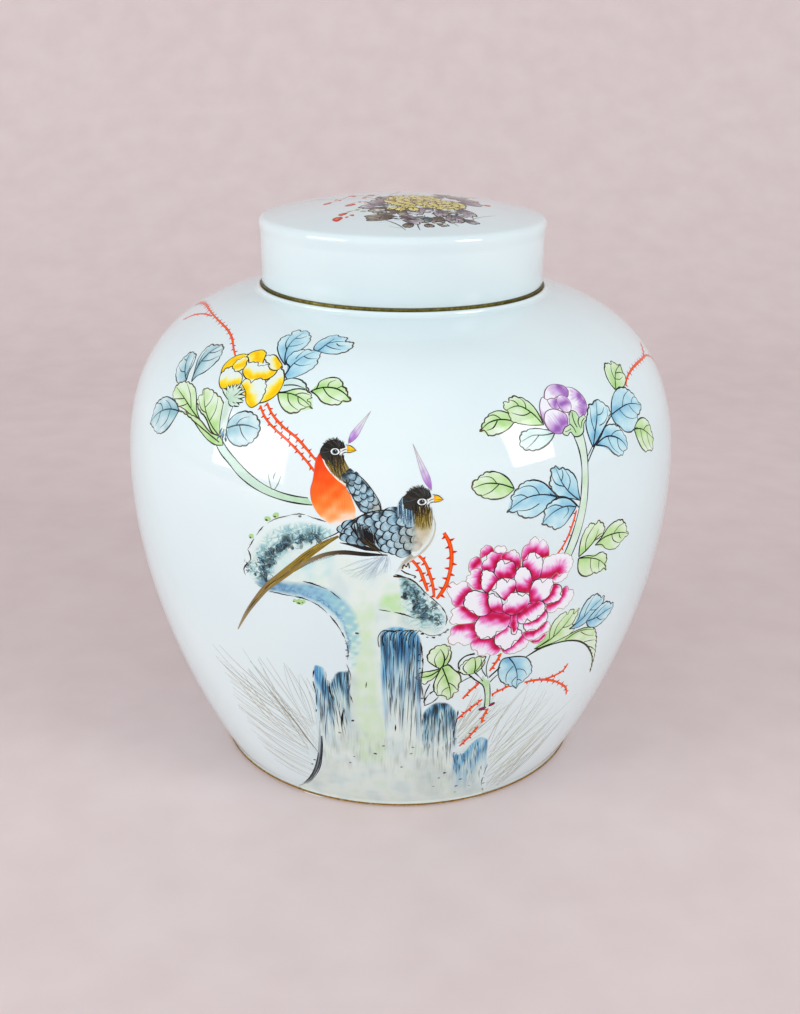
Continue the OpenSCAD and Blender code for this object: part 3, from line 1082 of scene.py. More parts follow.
def eye_and_beak(art, at, layer, tilt=0):
    """The eye's white ring, the pale cheek, and the yellow beak; at is the eye's centre."""
    move = turned_to(tilt, 1.0, at)
    ring = oval(1.6, 1.15, 9)
    iris = oval(0.98, 0.8, 8)
    pupil = oval(0.72, 0.66, 8)
    cheek = [(1.1, 0.6, 1), (2.6, 0.9), (4, 1.6, 1), (3.8, 0.4), (2.8, -0.5), (1.2, -0.7)]
    beak = [(3.6, 2, 1), (4.8, 1.7), (6.6, 0.5, 1), (5.2, 0.1), (3.7, -0.1, 1), (3.9, 0.9)]
    art.wash(move(cheek), srgb(222, 226, 222), layer=layer, spacing=0.4)
    art.wash(move(ring), srgb(232, 238, 240), layer=layer + 0.5, spacing=0.4)
    art.stroke(move(ring), wavering(0.26, 7, 5), FEATHER_BLACK, layer=layer + 1, closed=True, spacing=0.3)
    art.wash(move(iris), srgb(112, 132, 142), layer=layer + 1, spacing=0.3)
    art.wash(move(pupil), srgb(40, 34, 28), layer=layer + 1.5, spacing=0.3)
    daub(art, move([(0.2, 0.25)])[0], 0.3, srgb(200, 205, 200), layer + 2, seed=2)
    art.wash(
        move(beak), along(
            *move([(3.6, 1), (6.5, 0.6)]),
            [(0, srgb(226, 150, 10)), (0.4, srgb(250, 200, 20)), (1, srgb(226, 160, 30))]
        ), layer=layer + 1, spacing=0.4
    )
    art.stroke(move([(3.2, 2.2), (4.8, 1.9), (6.6, 0.5)]), [0.15, 0.3, 0.12], FEATHER_BROWN, layer=layer + 2)
    art.stroke(move([(3.7, 0.5), (5, 0.6), (6.6, 0.5)]), [0.1, 0.16, 0.1], OLIVE_DARK, layer=layer + 2)
    art.stroke(move([(3.7, -0.2), (5.2, 0), (6.4, 0.4)]), [0.25, 0.25, 0.1], FEATHER_BROWN, layer=layer + 2)
    art.stroke(move([(2, 0.1), (2.8, 0.6), (3.7, 0.9)]), [0.1, 0.25, 0.15], FEATHER_BLACK, layer=layer + 1.5)
    art.stroke(
        move([(2.2, -0.7), (2.9, -0.2), (3.6, -0.1)]), [0.1, 0.3, 0.2], FEATHER_BLACK, layer=layer + 1.5
    )


def crest(art, root, tip, width, layer, seed):
    """A long thin violet plume, pointed at both ends and fullest near its root."""
    root, tip = np.array(root, float), np.array(tip, float)
    way = tip - root
    side = np.array([-way[1], way[0]]) / np.linalg.norm(way) * width / 2
    swell = [(0.1, 0.6), (0.24, 1), (0.4, 0.9), (0.7, 0.42)]
    left = [root + way * t + side * w for t, w in swell]
    right = [root + way * t - side * w for t, w in swell]
    shape = [(*root, 1), *left, (*tip, 1), *right[::-1]]
    violet = [(0, srgb(150, 84, 180)), (0.2, srgb(180, 134, 208)), (0.42, srgb(204, 182, 222, 0.85)),
              (0.7, srgb(214, 204, 214, 0.5)), (1, srgb(190, 176, 160, 0.6))]
    art.wash([tuple(p) for p in shape], along(root, tip, violet, seed=seed), layer=layer, spacing=0.4)
    for line in ([root, *left, tip], [root, *right, tip], [root, root + way * 0.5, tip]):
        art.stroke(line, [0.12, 0.16, 0.14, 0.1], srgb(146, 126, 128, 0.75), layer=layer + 1, spacing=0.8)


def paint_far_bird():
    art = Enamel("far_bird", BIRDS_AT)
    breast = [
        (-4.6, 21.8, 1), (-5.9, 19), (-6.3, 15), (-6.5, 12.4), (-7.2, 9.4), (-6.8, 5.6), (-5, 2.4),
        (-2, -0.2), (1.4, -1.6), (4.4, -1.4), (6.8, 1), (7.2, 4), (6, 7.4), (4.6, 10.4), (2.4, 12.2),
        (0, 14), (-2.4, 16.6), (-4, 19.4)
    ]
    flame = [
        (0, srgb(224, 52, 2)), (0.3, srgb(244, 80, 6)), (0.5, srgb(248, 104, 24)),
        (0.72, srgb(250, 142, 66)), (0.88, srgb(250, 178, 120)), (0.96, srgb(248, 204, 168, 0.7)),
        (1.03, srgb(246, 220, 200, 0))
    ]
    art.wash(breast, along((-4, 20), (2.5, -1), flame, seed=6, size=2.2), layer=8, spacing=0.6)
    hairs(art, 40, [(-4, 18), (-3.5, 12), (3.5, 9)], [(-5.4, 8), (-2.5, 3), (4.6, 3)], 0.2,
          [srgb(236, 70, 8, 0.3), srgb(248, 104, 28, 0.3), srgb(250, 130, 60, 0.2)], 9, seed=12, jitter=0.8)
    art.stroke(
        [(-4.5, 21.6), (-5.8, 19), (-6.3, 15), (-6.5, 12.4), (-7.2, 9.4), (-6.6, 5)],
        [0.1, 0.35, 0.3, 0.4, 0.3, 0.05], srgb(214, 56, 12, 0.8), layer=9.8
    )
    throat = [
        (-4.2, 20.6, 1), (-2.4, 19.4), (0, 19), (2.4, 20.4), (3, 18.4), (4.2, 16.4), (6, 15), (5.6, 12.4),
        (4.2, 11.2), (2, 12.6), (0, 14.6), (-2, 16.8), (-3.6, 19)
    ]
    art.wash(
        throat, along(
            (-2, 20), (3.5, 12.4), [
                (0, srgb(56, 46, 26)), (0.45, srgb(112, 94, 44)), (0.8, srgb(150, 138, 92)),
                (1, srgb(196, 194, 172))
            ], seed=8
        ), layer=10, spacing=0.5
    )
    art.stroke(
        [(-4, 19.6), (-2.3, 16.8), (0, 14.4), (2.2, 12.7), (4.6, 11.4)], [0.3, 0.6, 0.5, 0.6, 0.2],
        srgb(236, 226, 214), layer=10.5
    )
    hairs(art, 90, [(-3.6, 20.4), (-0.6, 19.6), (2.2, 20)], [(-1.4, 16.4), (1.6, 13.4), (5.4, 12.6)], 0.24,
          [FEATHER_BLACK, FEATHER_BLACK, OLIVE_DARK, OLIVE_DARK, OLIVE, srgb(178, 156, 76)], 11, seed=9)
    head(art, turned_to(4, 0.92, (0.2, 21.4)), 12)
    eye_and_beak(art, (-0.1, 21.7), 15, tilt=2)
    wing = [
        (3.8, 14.2), (5.4, 15.2), (7.6, 14.5), (10, 12.6), (12.4, 9.6), (14.4, 6.6), (15.2, 4.2),
        (13.4, 3.6), (10.8, 2.8), (9.2, 3.6), (7.8, 6), (6.4, 8.4), (5, 10.8), (4, 12.6)
    ]
    art.wash(wing, srgb(58, 70, 84), layer=10, spacing=0.8)
    scales(
        art, wing, lambda p: -58 + 1.5 * (p[0] - 9), 2.2, wing_paint((4.5, 13.5), 2.5, (14, 5), 4),
        FEATHER_BLACK, 11, rows_per_layer=1.1, seed=21
    )
    art.stroke([(3.4, 14.4), (5.4, 15.5), (7.8, 14.8), (10.2, 12.8), (12.8, 9.7), (14.8, 6.4), (15.4, 4)],
               [0.15, 0.4, 0.3, 0.35, 0.25, 0.3, 0.1], FEATHER_BLACK, layer=22)
    art.stroke(
        [(4, 13.4), (4.4, 11.6), (5.8, 9), (7.4, 6.2), (9, 3.6)], [0.5, 0.3, 0.4, 0.3, 0.1], FEATHER_BROWN,
        layer=22
    )
    crest(art, (3.8, 24.4), (9.6, 35), 2.3, 10, 1)
    art.lay_down()


def paint_near_bird():
    art = Enamel("near_bird", BIRDS_AT)
    gold = [
        srgb(118, 98, 34), srgb(146, 122, 40), srgb(140, 118, 60), srgb(132, 114, 78), srgb(160, 142, 108)
    ]
    upper = [
        (2, -4.8), (-3, -8), (-8, -12), (-13, -16.8), (-18, -21.4), (-23, -26), (-27, -31), (-31, -36.6),
        (-36.5, -46)
    ]
    lower = [(17.4, -10.2), (10, -10.2), (3, -10.1), (-2, -11.2), (-7, -13.8), (-12, -17.2), (-18, -21.8)]
    art.stroke(
        lower, [0.3, 1.3, 1.5, 1.3, 1.5, 1.5, 0.5], [
            FEATHER_BLACK, FEATHER_BLACK, srgb(70, 60, 44), srgb(126, 110, 80), srgb(132, 112, 70),
            srgb(120, 98, 48)
        ], layer=8
    )
    art.stroke(upper, [0.7, 2.1, 2.7, 2.9, 2.6, 2.1, 1.7, 1.2, 0.35], gold, layer=9)
    art.stroke(
        [(2.4, -6.9), (6, -7.3), (10, -8.1), (14.6, -8.9)], [0.15, 0.9, 1.5, 0.5], FEATHER_BLACK, layer=8.5
    )
    art.stroke(
        [(3.4, -2.4), (0.5, -4.4), (-2.4, -6), (-4.4, -7.4)], [0.3, 0.35, 0.25, 0.1], FEATHER_BLACK,
        layer=10
    )
    draw = random.Random(31)
    spine = curve(upper, 0.5)
    for k in range(34):
        a = draw.randrange(2, len(spine) - 22)
        b = a + draw.randrange(10, 20)
        shift = np.array([draw.uniform(-0.5, 0.5), draw.uniform(-0.5, 0.5)]) * 1.3 * (1 - a / len(spine))
        piece = spine[a:b:3] + shift
        art.stroke(
            [tuple(p) for p in piece], [0.08, 0.24, 0.06],
            draw.choice([OLIVE_DARK, FEATHER_BROWN, srgb(176, 152, 70)]), layer=9.6 + 0.2 * (k % 3),
            spacing=0.8
        )
    for k in range(14):
        art.stroke([(2 - k * 0.9, -10.6 - k * 0.32), (0.4 - k * 0.9, -11.5 - k * 0.42)], [0.2, 0.06],
                   fade(FEATHER_BROWN, 0.7), layer=9, spacing=1)
    body = [
        (2.6, -3.4, 1), (6, 0.2), (9, 2), (12, 3.4), (15, 4), (18.6, 4), (20.6, 2.8), (22.6, 1.2),
        (26, -0.4), (28.2, -2), (28.4, -4.6), (26, -7.6), (22.6, -9.2), (18.4, -9.6), (14.6, -8.8),
        (12, -7), (8, -6.2), (4, -5.8), (2.4, -5)
    ]
    art.wash(
        body, along(
            (3, -5), (27, -4), [
                (0, srgb(60, 66, 62)), (0.3, srgb(36, 40, 44)), (0.6, srgb(66, 84, 96)),
                (1, srgb(120, 124, 104))
            ], seed=14
        ), layer=10, spacing=0.7
    )
    scales(art, body, lambda p: 196 + 2.0 * (p[0] - 14) * (0.4 - 0.06 * p[1]), 2.8,
           wing_paint((10.5, -4.4), 4.6, (26, -5), 7), FEATHER_BLACK, 11, rows_per_layer=1.1, seed=22)
    hairs(art, 34, [(6.5, -0.5), (10, -1.6), (13, -3)], [(8, -4.6), (12, -6.4), (15, -7.6)], 0.5,
          [FEATHER_BLACK, srgb(20, 20, 22), srgb(52, 58, 64)], 25.5, seed=13, jitter=1.1)
    hairs(
        art, 14, [(9, -5), (12, -6)], [(13, -8.4), (17, -9.4)], 0.5, [FEATHER_BLACK, FEATHER_BROWN], 26,
        seed=15, jitter=0.8
    )
    art.stroke([(2.8, -3.2), (6, 0.4), (9, 2.3), (12, 3.7), (15.2, 4.3), (18.8, 4.2), (20.4, 3)],
               [0.2, 0.45, 0.3, 0.5, 0.3, 0.45, 0.15], FEATHER_BLACK, layer=26)
    front = [(30.4, 2.6), (31.2, -0.4), (30.6, -3.8), (28.4, -7.6), (25, -10.6), (22, -13.6), (20.2, -16)]
    art.stroke(
        front, [1.6, 2, 2.4, 2.4, 2.2, 1.4, 0.4], [
            srgb(176, 166, 126, 0.85), srgb(196, 188, 166, 0.85), srgb(190, 178, 152, 0.8),
            srgb(206, 200, 184, 0.5)
        ], layer=9
    )
    hairs(
        art, 56, [(30.8, 3), (31.4, -1), (29.8, -5), (26, -9.4)],
        [(30.2, -2.4), (28.6, -6.6), (24.4, -10.6), (20.4, -15.4)], 0.16,
        [srgb(130, 112, 74, 0.8), srgb(158, 142, 104, 0.8), srgb(110, 100, 84, 0.6)], 10.4, seed=16,
        jitter=0.6, bend=0.05
    )
    nape = [
        (20, 4.6, 1), (20.6, 7), (22, 9), (24.4, 9), (26, 6.4), (26, 3), (27, 0.4), (24, -0.6), (21.4, 1.6),
        (20, 3.4)
    ]
    art.wash(
        nape, along(
            (21, 8), (25, -0.6),
            [(0, srgb(60, 70, 84)), (0.4, srgb(112, 158, 192)), (1, srgb(168, 200, 212))], seed=18
        ), layer=26, spacing=0.6
    )
    breast = [
        (25, 3), (28, 2), (31, 2), (31.8, -1), (31, -4.4), (28.6, -8), (25.4, -10.4), (24.4, -8.6),
        (25.6, -5), (25, -1)
    ]
    art.wash(
        breast, along(
            (28, 2), (26, -10),
            [(0, srgb(182, 172, 132)), (0.5, srgb(204, 196, 172, 0.9)), (1, srgb(218, 214, 204, 0.5))],
            seed=24, soft_edge=1.4
        ), layer=26.1, spacing=0.5
    )
    throat = [
        (24.8, 5.4, 1), (28, 5.2), (30.6, 5.6), (31.2, 3.4), (31.2, 0.4), (30.2, -2.2), (28, -3),
        (26, -1.2), (24.8, 2)
    ]
    golden = [
        (0, srgb(46, 40, 24)), (0.25, srgb(78, 64, 28)), (0.5, srgb(126, 108, 44)),
        (0.75, srgb(166, 154, 104, 0.85)), (1, srgb(196, 190, 162, 0.1))
    ]
    art.wash(throat, along((28, 6), (29, -3), golden, seed=19, soft_edge=0.7),
             layer=26.4, spacing=0.6)
    hairs(art, 60, [(20.6, 6), (22.4, 8.4), (25, 8)], [(20.6, 2.4), (22.6, 0.2), (25.4, -0.8)], 0.24,
          [STEEL, srgb(60, 96, 124), srgb(30, 40, 50), FEATHER_BLACK, STEEL_PALE], 27.2, seed=17)
    hairs(art, 70, [(25.6, 5.8), (28, 5.4), (30.6, 5.4)], [(25.4, 0.4), (28, -1.8), (30.9, -1)], 0.2,
          [OLIVE, OLIVE_DARK, OLIVE_DARK, FEATHER_BROWN, srgb(184, 166, 92)], 27.2, seed=20)
    head(art, turned_to(0, 1.0, (27.2, 7.2)), 28)
    eye_and_beak(art, (27.6, 7.1), 30.6)
    crest(art, (30.4, 10.6), (23.6, 25), 2.1, 10, 2)
    feet = [
        [(22, -14.8), (22.6, -13.4), (23.2, -14.2), (23.8, -12.8), (24.2, -14.6)],
        [(21.6, -15.2), (23, -16.2), (24.8, -16.9), (26.2, -17.6), (25.6, -18)],
        [(19.2, -17.4), (21.6, -17.7), (24.2, -18.2), (26, -19.6)],
        [(24.4, -18.4), (25.8, -19.2), (27.2, -21)],
    ]
    for k, toe in enumerate(feet):
        art.stroke(toe, wavering(0.4, 6, k), FEATHER_BROWN, layer=12)
    hairs(
        art, 40, [(15, -10.8), (17.8, -11)], [(2, -16), (6, -18.4), (11, -19), (15.4, -17), (18.4, -15.6)],
        0.12, [srgb(120, 150, 180, 0.6), srgb(96, 110, 130, 0.5), srgb(150, 172, 196, 0.5)], 8, seed=23,
        jitter=0.5
    )
    art.lay_down()


paint_far_bird()
paint_near_bird()


# ---------------------------------------------------------------- the rock

ROCK_AT = WALL_SURFACE.place(-4, 52)
NAVY = srgb(26, 40, 60)
ROCK_BLACK = srgb(28, 26, 24)
MOSS = srgb(168, 210, 140)
CLIFF_BLUE = [
    (0, srgb(28, 36, 46)), (0.17, srgb(44, 86, 120)), (0.34, srgb(62, 132, 188)), (0.56, srgb(114, 182, 214)),
    (0.8, srgb(160, 200, 214)), (1.05, srgb(200, 220, 220)),
]
CLIFF_DARK = [
    (0, srgb(32, 34, 34)), (0.24, srgb(54, 84, 104)), (0.44, srgb(78, 138, 174)),
    (0.68, srgb(140, 188, 206)), (1, srgb(200, 220, 216)),
]
CREASED = [
    (0, srgb(40, 38, 30)), (0.22, srgb(70, 84, 82)), (0.38, srgb(108, 144, 150)),
    (0.55, srgb(146, 192, 198, 0.95)), (0.75, srgb(178, 212, 212, 0.75)), (1, srgb(214, 230, 222, 0.25)),
]


def hanging(top, fall, stops, seed=0, deep=0.0, soft_edge=0.6):
    """Dry brush that is drawn down from the line top and gives out, unevenly, after about fall."""
    line = curve(top, 0.4)
    order = line[:, 0].argsort()
    line = line[order]

    def paint(xy, edge):
        x, y = xy[:, 0], xy[:, 1]
        drop = np.interp(x, line[:, 0], line[:, 1]) - y
        column = np.column_stack([x + 0.25 * mottle(xy, 5, seed + 3), y * 0.07])
        fine = mottle(column, 0.34, seed)
        broad = mottle(np.column_stack([x, y * 0.2]), 1.5, seed + 1)
        reach = fall * (1 + 0.22 * mottle(np.column_stack([x, x * 0]), 1.1, seed + 2))
        spent = drop / reach
        colour = tint(stops, 0.5 - deep + 0.34 * fine + 0.3 * broad + 0.2 * np.clip(spent, 0, 1))
        cover = np.clip((1 - spent) / 0.7 + 0.34 * fine, 0, 1) * np.clip(edge / soft_edge + 0.4 * fine, 0, 1)
        colour[:, 3] *= cover
        return colour

    return paint


def creased(spine, width, stops, seed=0, soft_edge=1.2):
    """Crumpled dark and light ink that is darkest along a line and thins out to each side."""
    line = curve(spine, 0.6)

    def paint(xy, edge):
        bent = xy + 0.9 * np.column_stack([mottle(xy, 2.2, seed), mottle(xy, 2.2, seed + 1)])
        fold = np.abs(mottle(bent, 1.15, seed + 2)) + 0.5 * np.abs(mottle(bent, 0.5, seed + 3))
        t = 0.1 + 0.52 * fold + 0.62 * distance(xy, line) / width + 0.1 * mottle(xy, 4, seed + 4)
        colour = tint(stops, t)
        colour[:, 3] *= np.clip(edge / soft_edge, 0, 1)
        return colour

    return paint


CLIFF_LAYER = 7


def cliff(art, top, bottom, count, seed):
    """Fine dark lines drawn down the face of the rock between two edges."""
    draw = random.Random(seed)
    high, low = curve(top, 0.3), curve(bottom, 0.3)
    for i in range(count):
        u = draw.random()
        a = high[int(u * (len(high) - 1))]
        b = low[int(u * (len(low) - 1))]
        start = draw.random() ** 1.6 * 0.7
        end = min(1.05, start + draw.uniform(0.1, 0.38))
        first, last = a + (b - a) * start, a + (b - a) * end
        middle = (first + last) / 2 + [draw.uniform(-0.3, 0.3), 0]
        colour = draw.choice([ROCK_BLACK, ROCK_BLACK, NAVY, srgb(44, 60, 70)])
        thick = draw.uniform(0.16, 0.42)
        strength = draw.uniform(0.6, 1.0)
        art.stroke([first, middle, last], [0.05, thick, thick * 0.7, 0.04],
                   [fade(colour, strength), fade(colour, strength), fade(colour, strength * 0.4)],
                   layer=CLIFF_LAYER + 0.35 * (i % 12), spacing=0.9)


def broken_line(art, points, width, colour, layer, seed, gap=0.3):
    """An ink line that thickens, thins and stops here and there."""
    draw = random.Random(seed)
    line = curve(points, 0.4)
    start = 0
    while start < len(line) - 3:
        end = min(len(line), start + draw.randint(9, 24))
        wobble = np.column_stack([small_steps(draw, end - start), small_steps(draw, end - start)])
        piece = line[start:end] + wobble
        art.stroke(
            piece, [width * 0.3, width * draw.uniform(0.8, 1.5), width * 0.7, 0.06], colour, layer=layer,
            smooth=False
        )
        start = end + (draw.randint(1, 4) if draw.random() < gap else -1)


def small_steps(draw, count):
    return [draw.uniform(-0.08, 0.08) for _ in range(count)]


def paint_rock():
    art = Enamel("rock_wash", ROCK_AT)
    whole = [
        (-18, 75), (-26, 75.4), (-33, 73.6), (-40, 68), (-44, 61), (-45, 55), (-42, 50.5), (-34, 48),
        (-24, 48.2), (-17, 45.4), (-12.6, 40.6), (-10.2, 33), (-9.8, 22), (-12, 20), (-16, 14), (-20, 21),
        (-21.4, 14), (-21.4, -8), (-22, -20), (-25, -35), (-31, -46), (-32, -50.4), (-16, -51), (4, -51),
        (22, -51), (37, -50.4), (36.4, -40), (38, -28), (38, -16), (35, -12.4), (29, -15), (26, -18),
        (26, -4), (24, 6), (20, 7.4), (15, 4), (14.4, 18), (13.6, 33), (14, 36.6), (18, 35.6), (21, 38),
        (21.6, 42), (20, 47), (16, 52), (11, 57.4), (5, 60), (0, 64), (-8, 66), (-13, 71),
    ]
    body = [
        (0, srgb(206, 222, 220)), (0.4, srgb(216, 230, 226)), (0.7, srgb(222, 232, 226)),
        (1, srgb(212, 230, 218))
    ]
    art.wash(whole, cloud(body, seed=1, size=7, soft_edge=3.0, full_below=-45), layer=0, spacing=1.0)
    stains = [
        (
            [(-9, 46), (-1, 50), (0, 36), (1, 10), (3, -10), (1, -24), (-6, -26), (-9, -4), (-9, 22)],
            srgb(200, 226, 188, 0.85), 2
        ), ([(1, 52), (8, 53), (10, 46), (4, 44.6), (0, 47)], srgb(176, 222, 146), 3),
        ([(12, -20), (22, -24), (24, -38), (20, -47), (13, -46), (10, -34)], srgb(176, 190, 184, 0.4), 4),
        (
            [(-21, -24), (-14, -22), (-16, -36), (-22, -46), (-29, -46), (-25, -36)],
            srgb(182, 196, 190, 0.4), 5
        ), ([(24, -28), (34, -36), (37, -48), (26, -49), (22, -40)], srgb(180, 200, 204, 0.45), 6),
        ([(-12, 20), (-8, 22), (-7, 2), (-9, -18), (-14, -20), (-13, 0)], srgb(182, 196, 190, 0.5), 7),
        ([(6, 42), (18, 38), (20, 41), (12, 46), (7, 46)], srgb(184, 206, 200, 0.8), 8),
    ]
    for outline, colour, seed in stains:
        art.wash(
            outline,
            cloud([(0, colour), (1, fade(colour, 0.35 * colour[3]))], seed=seed, size=3.5, soft_edge=2.4),
            layer=0.5 + 0.1 * seed, spacing=0.8
        )
    drips = [(-21, -16), (-12, -15), (0, -18), (10, -17), (20, -26), (30, -36), (37, -40)]
    ground = [
        (-21.6, -6), (-10, -4), (2, -8), (12, -8), (24, -20), (37, -34), (36.4, -46), (20, -46), (0, -46),
        (-18, -44), (-24, -34)
    ]
    faint = [
        (0, srgb(136, 150, 142, 0.42)), (0.35, srgb(180, 194, 186, 0.28)), (0.6, srgb(208, 220, 212, 0.16)),
        (0.9, srgb(220, 230, 226, 0))
    ]
    art.wash(ground, hanging(drips, 26, faint, seed=9, soft_edge=3), layer=1.6, spacing=0.5)

    arm = [
        (-13, 72.6), (-20, 75), (-27, 74.4), (-33, 72), (-38.4, 67.4), (-42, 61.6), (-44.4, 54.6),
        (-42, 50), (-36, 49.6), (-34, 53), (-33, 58), (-30, 62), (-25, 65.6), (-19, 68.4), (-14, 69.6),
    ]
    spine = [(-19, 71.4), (-25, 69.8), (-31, 66.8), (-35, 62.8), (-37, 58.4), (-38.4, 54), (-37, 51.6)]
    art.wash(arm, creased(spine, 7.0, CREASED, seed=4), layer=2, spacing=0.34)
    hollow = [(-33, 62), (-26, 67), (-18, 69.4), (-13, 66), (-14, 58), (-20, 54.4), (-28, 53), (-34, 54)]
    art.wash(
        hollow, cloud(
            [(0, srgb(180, 220, 222, 0.85)), (1, srgb(214, 232, 230, 0.2))], seed=5, size=4, soft_edge=2.4
        ), layer=2.2, spacing=0.8
    )
    lower = [
        (-42, 51), (-37, 53.8), (-28, 54), (-21, 54.6), (-13.4, 52.4), (-7, 46), (-5, 38), (-5.6, 27),
        (-9, 20), (-10, 26), (-10.4, 34), (-12.8, 40.4), (-17.4, 45), (-24, 47.6), (-32, 48), (-38, 48.2),
    ]
    flow = [
        (0, srgb(96, 138, 164)), (0.35, srgb(136, 184, 208)), (0.6, srgb(150, 198, 208)),
        (0.8, srgb(160, 204, 208, 0.9)), (1, srgb(196, 224, 222, 0.5)),
    ]
    art.wash(
        lower, along((-40, 51), (-6, 26), flow, seed=6, grain=0.2, size=1.4, soft_edge=1.8), layer=2.8,
        spacing=0.5
    )
    under = [(-40, 51), (-33, 49.8), (-25, 49.4), (-18, 47), (-13, 42.4), (-10.4, 36), (-9.8, 28)]
    art.wash(
        [*under, (-8.6, 30), (-9, 37), (-11.6, 43.6), (-16.6, 48.6), (-24, 51.4), (-33, 51.8)],
        creased(
            under, 5.0,
            [(0, srgb(56, 90, 130)), (0.4, srgb(96, 146, 190, 0.9)), (0.9, srgb(160, 200, 220, 0.1))],
            seed=8, soft_edge=0.6
        ), layer=3.2, spacing=0.4
    )
    lobe = [
        (7, 59), (12, 57), (16, 52.6), (20.2, 47.6), (22, 43), (21, 38.4), (17, 36.2), (12, 38), (8.6, 42),
        (7, 48), (7, 53)
    ]
    crest = [(9, 56), (12, 52), (13.4, 47), (15, 44.4), (19, 43)]
    art.wash(lobe, creased(crest, 6.4, CREASED, seed=7, soft_edge=1.0), layer=2.8, spacing=0.34)

    faces = [
        ([(0.6, 36), (2, 39), (4.6, 40.2), (9, 40), (12.8, 38), (14.2, 34)], -26, 44, CLIFF_BLUE, 20, 0.06),
        ([(-22, 19), (-20.8, 22.4), (-18.6, 21.8), (-17.6, 17), (-16.4, 13)], -34, 34, CLIFF_BLUE, 24, 0.02),
        ([(-17.2, 12), (-15.6, 16.6), (-13.4, 20.6), (-11, 21.2), (-9.4, 22)], -28, 27, CLIFF_DARK, 28, 0.04),
        ([(14.2, 2), (16, 5.4), (19, 7.8), (23, 7.2), (25.4, 4), (26.4, -1)], -42, 26, CLIFF_DARK, 32, 0.04),
        ([(24.6, -19), (28, -20.4), (31, -16), (35, -12.2), (38.2, -15)], -50, 26, CLIFF_BLUE, 36, -0.1),
    ]
    for i, (top, low, fall, stops, seed, deep) in enumerate(faces):
        outline = [*top, (top[-1][0] + 0.2, low), (top[0][0] + 0.2, low)]
        shape = [
            (*p, 1) if k in (0, len(top) - 1, len(top), len(top) + 1) else p for k, p in enumerate(outline)
        ]
        art.wash(shape, hanging(top, fall, stops, seed=seed, deep=deep), layer=3.6 + 0.5 * i, spacing=0.32)
    art.lay_down()

    lines = Enamel("rock_strokes", ROCK_AT)
    # the strokes are see-through in places, so they take in the washes that they lie on
    lines.washes = art.washes
    cliffs = [
        (
            [(1, 37), (3.6, 39.4), (8, 39.8), (12, 38), (14, 34)],
            [(2.4, 4), (6, -8), (9, -14), (12, -12), (14.4, -10)], 120
        ), ([(-21, 21), (-19.2, 21.4), (-17, 13)], [(-21.6, -12), (-20, -20), (-16, -12)], 34),
        ([(-16.4, 13), (-13.6, 20), (-11, 20.6), (-9.6, 23)], [(-16, -10), (-13, -12), (-10.4, -4)], 50),
        ([(14.4, 2), (18, 6), (22, 7.4), (25.6, 3)], [(14, -18), (18, -24), (22, -26), (26, -18)], 80),
        (
            [(25, -18), (28, -20), (31.6, -16), (35, -13), (38, -15)],
            [(26, -34), (29, -40), (33, -42), (38, -34)], 36
        ),
    ]
    for k, (top, bottom, count) in enumerate(cliffs):
        cliff(lines, top, bottom, count, 12 + k)
    draw = random.Random(17)
    for k in range(10):
        x = 1.4 + k * 1.25 + draw.uniform(-0.5, 0.5)
        drop = draw.uniform(0.5, 6)
        hook = [
            (x + draw.uniform(1, 3.4), 38.4 + draw.uniform(-0.6, 0.6)), (x + 0.6, 38.6), (x - 0.6, 37.4),
            (x - 0.9, 37 - drop)
        ]
        lines.stroke(hook, wavering(0.3, 5, k), ROCK_BLACK, layer=12)
    sweep = [
        (-21, -4), (-21.4, -12), (-22.2, -22), (-24.2, -32), (-27.2, -40.4), (-30.4, -46.2), (-33.4, -50)
    ]
    lines.stroke(
        sweep, [0.2, 0.8, 1.3, 1.5, 1.4, 0.9, 0.3],
        [srgb(80, 110, 140, 0.3), srgb(90, 108, 122, 0.7), srgb(104, 112, 108, 0.6)], layer=8
    )
    for k in range(12):
        shift = draw.uniform(-0.5, 1.3)
        first = draw.randint(0, 3)
        piece = [
            (x + shift + draw.uniform(-0.15, 0.15), y) for x, y in sweep[first:first + draw.randint(3, 5)]
        ]
        lines.stroke(piece, [0.08, draw.uniform(0.25, 0.5), draw.uniform(0.25, 0.5), 0.06],
                     draw.choice([ROCK_BLACK, NAVY, srgb(92, 96, 84), srgb(70, 84, 96)]), layer=9 + 0.2 * k)
    contours = [
        [(-16, 75.6), (-20, 76.4), (-24, 77.2), (-28, 76.4)],
        [(-28, 76.2), (-33, 74.4), (-38, 70.6), (-41, 66.4), (-43.6, 62)],
        [(-43.6, 62), (-42.6, 59), (-44.6, 56.4), (-45.6, 54.4), (-44.6, 52)],
        [(-24, 54.4), (-20, 53.8), (-15, 52), (-11.6, 49.4)],
        [(-36, 48.6), (-30, 48.4), (-23.4, 48), (-19, 46.2), (-15.6, 43.2), (-12.6, 39), (-10.4, 34.4)],
        [(-10.4, 34), (-9.6, 29), (-10.2, 24), (-9.2, 20), (-9.6, 12), (-8.8, 7)],
        [(0.6, 46.4), (5, 45.8), (8.6, 44.8), (12.6, 43.2)],
        [
            (5.6, 59.2), (9, 58.2), (12.6, 56), (14.6, 53.4), (18, 50), (20.8, 46.8), (22.2, 43.4),
            (21.6, 39.6)
        ], [(14, 38.2), (17, 36.6), (20.6, 37.2), (23, 38.6)],
        [(26.6, 3), (26, -3), (25.2, -9), (25.8, -14)], [(14.8, 8), (16, 10.8), (18.6, 13.6)],
        [(38.4, -30), (36.8, -38), (36.4, -44), (37.2, -49)],
        [(-21.6, 20), (-22.2, 16), (-21.4, 8), (-22, 0)], [(13.9, 34), (14.6, 26), (14.2, 18), (14.8, 10)],
    ]
    for k, line in enumerate(contours):
        brown = k in (0, 1, 5, 8, 11)
        broken_line(
            lines, line, 0.34 if brown else 0.42, SOFT_INK if brown else INK, 12, 60 + k,
            gap=0.7 if brown else 0.35
        )
